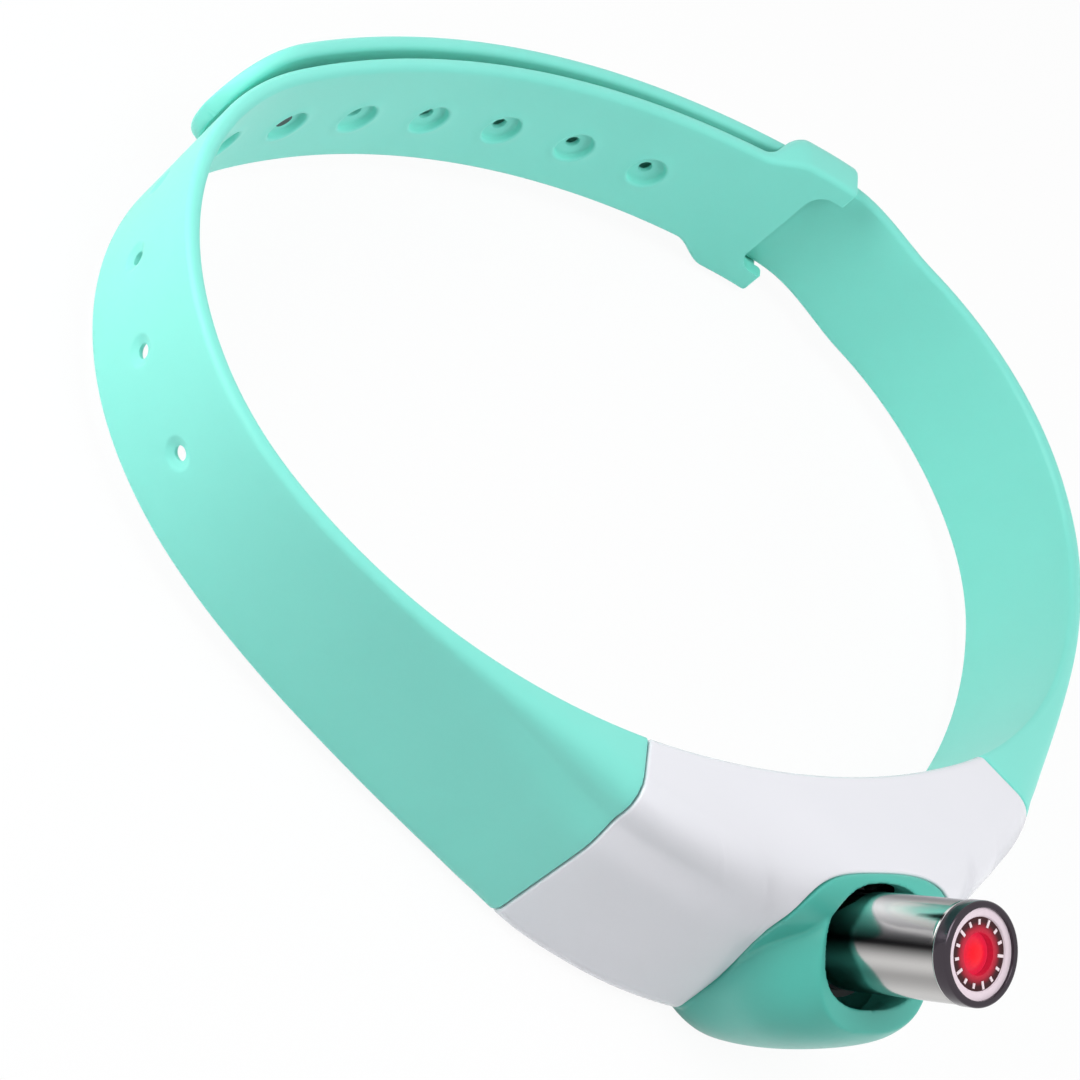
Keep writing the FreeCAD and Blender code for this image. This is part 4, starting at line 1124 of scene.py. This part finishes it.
# %% A small class for Geometry Nodes
class Shape:
    """One Geometry Nodes tree with named inputs, made into a plain mesh."""

    def __init__(self, name, inputs):
        self.tree = bpy.data.node_groups.new(name, "GeometryNodeTree")
        self.keys = {}
        for label, (kind, value) in inputs.items():
            socket = self.tree.interface.new_socket(label, in_out="INPUT", socket_type="NodeSocket" + kind)
            socket.default_value = value
            self.keys[label] = socket.identifier
        self.tree.interface.new_socket("Geometry", in_out="OUTPUT", socket_type="NodeSocketGeometry")
        self.given = self.tree.nodes.new("NodeGroupInput")

    def input(self, label):
        return self.given.outputs[label]

    def node(self, kind, settings, inputs, output=0):
        made = self.tree.nodes.new(kind)
        for name, value in settings.items():
            setattr(made, name, value)
        for name, value in inputs.items():
            if isinstance(value, bpy.types.NodeSocket):
                self.tree.links.new(value, made.inputs[name])
            else:
                made.inputs[name].default_value = value
        return made.outputs[output]

    def math(self, operation, *values):
        return self.node("ShaderNodeMath", {"operation": operation}, dict(enumerate(values)))

    def object(self, name, geometry, finish, values, turn):
        """Realize the geometry with its finish, set the inputs, and place the plain mesh with a matrix."""
        whole = self.node("GeometryNodeRealizeInstances", {}, {0: geometry})
        whole = self.node("GeometryNodeSetMaterial", {}, {"Geometry": whole, "Material": finish})
        end = self.tree.nodes.new("NodeGroupOutput")
        self.tree.links.new(whole, end.inputs[0])
        made = bpy.data.objects.new(name, bpy.data.meshes.new(name))
        bpy.context.scene.collection.objects.link(made)
        modifier = made.modifiers.new(name, "NODES")
        modifier.node_group = self.tree
        for label, value in values.items():
            modifier[self.keys[label]] = value
        apply_modifiers(made)
        made.data.transform(turn)
        return made


# %% Ticks round the lens
def laser_matrix(back):
    """Millimetres on a flat drawing to metres on the laser's face, at a depth behind it."""
    turn = Matrix((Vector((1, 0, 0)), LASER_UP, LASER_DIR)).transposed().to_4x4()
    return Matrix.Scale(MM, 4) @ SWING @ Matrix.Translation(on_laser(back)) @ turn


def face_ticks():
    """Bars on a circle, every third one longer."""
    shape = Shape("dial_ticks", {"Count": ("Int", 15), "Radius": ("Float", 2.5), "Length": ("Float", 0.5),
                                 "Width": ("Float", 0.24), "Height": ("Float", 0.08)})
    ring = shape.node("GeometryNodeMeshCircle", {}, {"Vertices": shape.input("Count"),
                                                     "Radius": shape.input("Radius")})
    size = shape.node("ShaderNodeCombineXYZ", {}, {0: shape.input("Length"), 1: shape.input("Width"),
                                                   2: shape.input("Height")})
    bar = shape.node("GeometryNodeMeshCube", {}, {"Size": size})
    index = shape.node("GeometryNodeInputIndex", {}, {})
    step = shape.math("DIVIDE", 2 * math.pi, shape.input("Count"))
    turn = shape.node("ShaderNodeCombineXYZ", {}, {2: shape.math("MULTIPLY", index, step)})
    third = shape.math("LESS_THAN", shape.math("MODULO", index, 3.0), 0.5)
    long = shape.math("ADD", shape.math("MULTIPLY", third, 0.45), 0.85)
    scale = shape.node("ShaderNodeCombineXYZ", {}, {0: long, 1: 1.0, 2: 1.0})
    ticks = shape.node("GeometryNodeInstanceOnPoints", {}, {"Points": ring, "Instance": bar,
                                                            "Rotation": turn, "Scale": scale})
    return shape.object("face_ticks", ticks, TICK, {"Count": 15}, laser_matrix(PLATE_SUNK - 0.02))


place_piece(face_ticks(), "laser_head", "face_red")

# %% [markdown]
# ## The front cover
# The cover is a thin white shell over the fairing, between the pod's two end planes, with an arch
# cut out for the cowl. Cutting an arch into a finished grid leaves a ragged edge. Here the grid
# itself fans out from the arch: lines start at the middle of its foot, begin to be skin where they
# leave the arch, and end on the end planes or on the rim at the neck, so every edge is clean.

# %% Arch and the cover's own coordinates
ARCH_ROWS = ((4.0, 9.7), (12.0, 9.9), (14.0, 10.0), (17.0, 9.3), (21.5, 8.0), (26.0, 7.6), (40.0, 7.5))
ARCH_LOW = -11.5
ARCH_HIGH = 5.5
ARCH_POWER = 3.1
COVER_RIM = 0.8
COVER_SKIN = 0.6
COVER_ROUND = 0.25


def in_arch(point, grow):
    """Whether a point lies in the cut-out, which is a tube along the laser's line."""
    away = point - FACE
    back, up = -away.dot(LASER_DIR), away.dot(LASER_UP)
    half_w = eased(ARCH_ROWS, back)[0] + grow
    middle = (ARCH_LOW + ARCH_HIGH) / 2
    half_h = (ARCH_HIGH - ARCH_LOW) / 2 + grow
    return abs(away.x / half_w) ** ARCH_POWER + abs((up - middle) / half_h) ** ARCH_POWER < 1


def girdle():
    """The cover's way round a section, from the rim at the neck over the top to the rim below:
    a list of (length so far, piece, first share, last share)."""
    arcs = fairing_outline(0.0)
    inner_length = (outline_point(arcs, 1, 1) - outline_point(arcs, 1, 0)).length
    rim_share = (COVER_RIM - BAND_EDGE_R) / inner_length
    legs = []
    total = 0.0
    for piece, first, last in ((1, 1 - rim_share, 1), (2, 0, 1), (3, 0, 1), (4, 0, 1), (5, 0, 1), (6, 0, 1),
                               (7, 0, 1), (0, 0, 1), (1, 0, rim_share)):
        points = [outline_point(arcs, piece, first + (last - first) * i / 8) for i in range(9)]
        legs.append((total, piece, first, last))
        total += sum((points[i + 1] - points[i]).length for i in range(8))
    return legs, total


GIRDLE, GIRDLE_LENGTH = girdle()
LEG_STARTS = [leg[0] for leg in GIRDLE] + [GIRDLE_LENGTH]


def cover_mark(height):
    """Piece and share at a height above the lower rim, measured over the skin."""
    way = min(max(GIRDLE_LENGTH - height, 0.0), GIRDLE_LENGTH)
    i = next(k for k in range(len(GIRDLE)) if way <= LEG_STARTS[k + 1] + 1e-9)
    _, piece, first, last = GIRDLE[i]
    share = (way - LEG_STARTS[i]) / (LEG_STARTS[i + 1] - LEG_STARTS[i])
    return piece, first + (last - first) * share


def cover_point(run, height, inset=0.0):
    piece, share = cover_mark(height)
    return fairing_point(run, piece, share, inset)


print("way over the cover in mm", round(GIRDLE_LENGTH, 1))


# %% Lines of the cover
SIDE_MARKS = ((1, 1), (2, 6), (3, 14), (4, 12), (5, 22), (6, 9), (7, 16), (0, 6), (1, 1))
TOP_MARKS = 56
LINE_STEPS = 44


def side_heights():
    """Heights of the line ends on an end plane, from the lower rim up, closer round the corners."""
    heights = []
    for (start, end), (_, steps) in zip(zip(LEG_STARTS, LEG_STARTS[1:]), SIDE_MARKS):
        heights += [GIRDLE_LENGTH - (start + (end - start) * i / steps) for i in range(steps)]
    return [0.0] + heights[::-1]


def plane_run(height, beyond, inset):
    """Run where the skin at a height meets the end plane, less a distance, or the plane itself."""
    piece, share = cover_mark(height)
    return run_at_plane(piece, share, beyond, inset)


def line_end(end, short, inset):
    """Where a line ends: end is ("side", sign, height) or ("top", share), drawn in by a length."""
    kind = end[0]
    height = min(end[2] if kind == "side" else GIRDLE_LENGTH, GIRDLE_LENGTH - short)
    reach = plane_run(height, -short, inset)
    run = end[1] * reach
    return run, height


def cover_ends():
    heights = side_heights()
    ends = [("side", 1, height) for height in heights]
    ends += [("top", 1 - 2 * i / TOP_MARKS) for i in range(1, TOP_MARKS)]
    ends += [("side", -1, height) for height in reversed(heights)]
    return ends


def arch_crossing(run, height, grow):
    """Share of the way from the foot's middle to a line's end where the line leaves the arch."""
    low, high = 0.0, 1.0
    for _ in range(22):
        middle = (low + high) / 2
        if in_arch(cover_point(run * middle, height * middle), grow):
            low = middle
        else:
            high = middle
    return low


def cover_line(end):
    """One closed line: outside from arch to end, round the edge, and back inside."""
    run, height = line_end(end, COVER_ROUND, 0.0)
    length = math.hypot(run, height)
    start = arch_crossing(run, height, SEAM)
    outside = []
    for i in range(ROUND_ROWS):
        angle = math.pi / 2 * (1 - i / ROUND_ROWS)
        way = start + COVER_ROUND * (1 - math.sin(angle)) / length
        outside.append(cover_point(run * way, height * way, COVER_ROUND * (1 - math.cos(angle))))
    first = start + COVER_ROUND / length
    for i in range(LINE_STEPS + 1):
        share = math.sin(math.pi / 2 * i / LINE_STEPS) * 0.6 + 0.4 * i / LINE_STEPS
        way = first + (1 - first) * share
        outside.append(cover_point(run * way, height * way))
    for i in range(1, ROUND_ROWS + 1):
        angle = math.pi / 2 * i / ROUND_ROWS
        inset = COVER_ROUND * (1 - math.cos(angle))
        outside.append(cover_point(*line_end(end, COVER_ROUND * (1 - math.sin(angle)), inset), inset))
    inside = []
    last_run, last_height = line_end(end, 0.0, COVER_SKIN)
    inside.append(cover_point(last_run, last_height, COVER_SKIN))
    for i in range(LINE_STEPS // 2, -1, -1):
        way = start + (1 - start) * i / (LINE_STEPS // 2)
        inside.append(cover_point(run * way, height * way, COVER_SKIN))
    return outside, inside


# %% The cover's skin
END_WALL = 0.6
END_WALL_SUNK = 0.2
END_WALL_BEHIND = 0.03


def end_wall(side):
    """The wall that closes the cover towards a strap, a little behind the skin's rounded edge."""
    wall = Skin()
    loops = []
    for beyond in (-END_WALL_BEHIND, -END_WALL):
        loops.append([])
        for piece, share in MARKS:
            reach = run_at_plane(piece, share, beyond, END_WALL_SUNK)
            loops[-1].append(fairing_point(side * reach, piece, share, END_WALL_SUNK))
    wall.grid(loops, closed=True)
    wall.cap(loops[0])
    wall.cap(loops[1])
    return wall.object("end_wall", WHITE)


def front_cover():
    skin = Skin()
    lines = [cover_line(end) for end in cover_ends()]
    loops = [outside + inside for outside, inside in lines]
    skin.grid(loops, closed=True)
    for outside, inside in (lines[0], lines[-1]):
        skin.cap(outside + inside)
    return skin.object("cover_shell", WHITE, 50)


BUTTON_X = 12.2
BUTTON_Y = -38.6
BUTTON_HOLE_R = 1.95


def round_cutter(x, y, radius, low, high, steps=48):
    cutter = Skin()
    rows = [[Vector((x + radius * math.cos(2 * math.pi * i / steps), y + radius * math.sin(2 * math.pi * i / steps), z))
             for i in range(steps)] for z in (low, high)]
    cutter.grid(rows, closed=True)
    cutter.cap(rows[0])
    cutter.cap(rows[1])
    return cutter.object("round_cutter", WHITE)


cover = front_cover()
cut(cover, round_cutter(BUTTON_X, BUTTON_Y, BUTTON_HOLE_R, -12.0, -7.0))
for side in (-1, 1):
    joined(cover, end_wall(side))
place_piece(cover, "collar", "white_shell", "front_cover")

# %% [markdown]
# ## The cowl
# The cowl is the mint shell that fills the arch and comes out as a scoop round the barrel. Its
# packed form is right but every edge is sharp, and a moulding has none. A bevel would stumble over
# the many edges where the scoop leaves the fairing. Here the form is turned into fine even voxels
# and then smoothed a few times, which rounds each edge by a fraction of a millimetre, as a real
# mould does, and a bead of the same plastic is laid into the mouth first to thicken its lower lip.

# %% The cowl from fine voxels
VOXEL = 0.17
SOFTENING = 5
MOUTH_BACK = 11.8
MOUTH_HALF_W = 5.9
MOUTH_LOW = -6.6
MOUTH_MIDDLE = -0.95
MOUTH_POWER = 2.5
LIP_RISE = 1.25
LIP_SUNK = 0.3
LIP_REACH = 5.0


def merged_copy(node, name, finish):
    """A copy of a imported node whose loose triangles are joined."""
    mesh = nodes[node].data.copy()
    mesh.name = name
    mesh.materials.clear()
    mesh.materials.append(finish)
    work = bmesh.new()
    work.from_mesh(mesh)
    bmesh.ops.remove_doubles(work, verts=work.verts, dist=0.001 * MM)
    work.to_mesh(mesh)
    work.free()
    made = bpy.data.objects.new(name, mesh)
    bpy.context.scene.collection.objects.link(made)
    return made


def lower_mouth(back, grow, rise):
    """Lower half of the mouth's outline at a place on the laser's line."""
    points = []
    for i in range(41):
        angle = -math.pi * i / 40
        c, s = math.cos(angle), math.sin(angle)
        across = math.copysign(abs(c) ** (2 / MOUTH_POWER), c)
        down = abs(s) ** (2 / MOUTH_POWER)
        depth = MOUTH_MIDDLE - MOUTH_LOW + grow - rise
        points.append(on_laser(back, MOUTH_MIDDLE - depth * down, (MOUTH_HALF_W + grow) * across))
    return points


def mouth_bead():
    """A crescent that thickens the lower lip and thins out into the hollow."""
    skin = Skin()
    rows = []
    for i in range(13):
        back = MOUTH_BACK + LIP_REACH * i / 12
        rise = LIP_RISE * (1 - smooth(back, MOUTH_BACK + 0.4, MOUTH_BACK + LIP_REACH)) - 0.1
        rows.append(lower_mouth(back, LIP_SUNK, 0.0) + lower_mouth(back, 0.0, rise)[::-1])
    skin.grid(rows, closed=True)
    skin.cap(rows[0])
    skin.cap(rows[-1])
    return skin.object("mouth_bead", MINT)


def soft_moulding(piece):
    remesh = piece.modifiers.new("voxels", "REMESH")
    remesh.mode = "VOXEL"
    remesh.voxel_size = VOXEL * MM
    soften = piece.modifiers.new("soften", "SMOOTH")
    soften.factor = 0.5
    soften.iterations = SOFTENING
    return apply_modifiers(piece, 80)


cowl = soft_moulding(joined(merged_copy("nose_cowl", "cowl_shell", MINT), mouth_bead()))
place_piece(cowl, "collar", "mint_shell", "nose_cowl")

# %% [markdown]
# ## Parts that stay as they are
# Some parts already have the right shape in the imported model. Their meshes are loose triangles, so
# a copy is merged and shaded smooth, which lets light run over it without facets.

# %% Smooth copies
def smooth_copy(node, name, finish, body, slot, sharp=32):
    made = merged_copy(node, name, finish)
    made.data.shade_smooth()
    made.data.set_sharp_from_angle(angle=math.radians(sharp))
    return place_piece(made, body, slot, node)


smooth_copy("back_cover", "back_shell", WHITE, "collar", "white_shell")

# %% [markdown]
# ## Stage and light
# A product picture is lit with big soft sources. The floor and the world are white to the camera and
# in reflections, by the kind of ray that meets them and not by more light, so that the collar keeps
# its colours and the floor keeps a faint shadow. Only the side lamp shows in gloss, as a soft edge.
# The long bands on the barrel are painted reflections in its plate's colour, and not in the room.

# %% Floor and world
FLOOR_SIZE = 3.0
FLOOR_WHITE = 0.94
AMBIENT = 0.2


def white_share(tree, *rays):
    """1 for the named kinds of ray, as a socket."""
    path = tree.nodes.new("ShaderNodeLightPath")
    socket = path.outputs[rays[0]]
    for ray in rays[1:]:
        most = tree.nodes.new("ShaderNodeMath")
        most.operation = "MAXIMUM"
        tree.links.new(socket, most.inputs[0])
        tree.links.new(path.outputs[ray], most.inputs[1])
        socket = most.outputs[0]
    return socket


def mixed_with_white(tree, share, lit, output):
    """Show lit, or plain white by a share."""
    white = tree.nodes.new("ShaderNodeEmission")
    mix = tree.nodes.new("ShaderNodeMixShader")
    tree.links.new(share, mix.inputs[0])
    tree.links.new(lit, mix.inputs[1])
    tree.links.new(white.outputs[0], mix.inputs[2])
    tree.links.new(mix.outputs[0], output)


def make_world():
    world = bpy.data.worlds.new("studio")
    world.use_nodes = True
    tree = world.node_tree
    light = tree.nodes["Background"]
    light.inputs["Color"].default_value = (1, 1, 1, 1)
    light.inputs["Strength"].default_value = AMBIENT
    share = white_share(tree, "Is Camera Ray", "Is Glossy Ray", "Is Transmission Ray")
    mixed_with_white(tree, share, light.outputs[0], tree.nodes["World Output"].inputs["Surface"])
    bpy.context.scene.world = world


def flat_card(name, corners, material):
    """A stage surface through corners in metres."""
    mesh = bpy.data.meshes.new(name)
    mesh.from_pydata([tuple(corner) for corner in corners], [], [tuple(range(len(corners)))])
    mesh.materials.append(material)
    card = bpy.data.objects.new(name, mesh)
    bpy.context.scene.collection.objects.link(card)
    return card


def make_floor():
    """Nearly white to the camera, with a faint shadow left in it."""
    paint = Paint("studio_floor")
    paint.set({"Base Color": srgb(236, 237, 238), "Roughness": 0.9})
    tree = paint.tree
    share = tree.nodes.new("ShaderNodeMath")
    share.operation = "MULTIPLY"
    share.inputs[1].default_value = FLOOR_WHITE
    tree.links.new(white_share(tree, "Is Camera Ray", "Is Glossy Ray", "Is Transmission Ray"), share.inputs[0])
    mixed_with_white(tree, share.outputs[0], paint.shader.outputs[0],
                     tree.nodes["Material Output"].inputs["Surface"])
    half, level = FLOOR_SIZE / 2, cad_box[0].z
    return flat_card("floor", [(-half, -half, level), (half, -half, level), (half, half, level),
                               (-half, half, level)], paint.material)


make_world()
make_floor()

# %% Lamps
def make_lamp(name, place, target, size, power, mirrored=False):
    """A square soft lamp at a place in millimetres, turned to a target."""
    data = bpy.data.lights.new(name, "AREA")
    data.size = size * MM
    data.energy = power
    lamp = bpy.data.objects.new(name, data)
    lamp.visible_glossy = mirrored
    place, target = Vector(place) * MM, Vector(target) * MM
    turn = (place - target).to_track_quat("Z", "Y").to_matrix().to_4x4()
    lamp.matrix_world = Matrix.Translation(place) @ turn
    bpy.context.scene.collection.objects.link(lamp)
    return lamp


make_lamp("side_lamp", (-175, 90, 85), (-50, 0, 0), 160, 0.33, True)
make_lamp("top_lamp", (-40, -120, 420), (0, -20, 0), 260, 1.02)
make_lamp("front_lamp", (270, -210, 130), (0, -50, 0), 200, 0.52)

bpy.context.scene.view_settings.view_transform = "Standard"

# %% [markdown]
# ## The end
# The box of the imported model is printed in millimetres.

# %% Print the imported model's box
print("cad box in mm", [[round(v / MM, 2) for v in corner] for corner in cad_box])
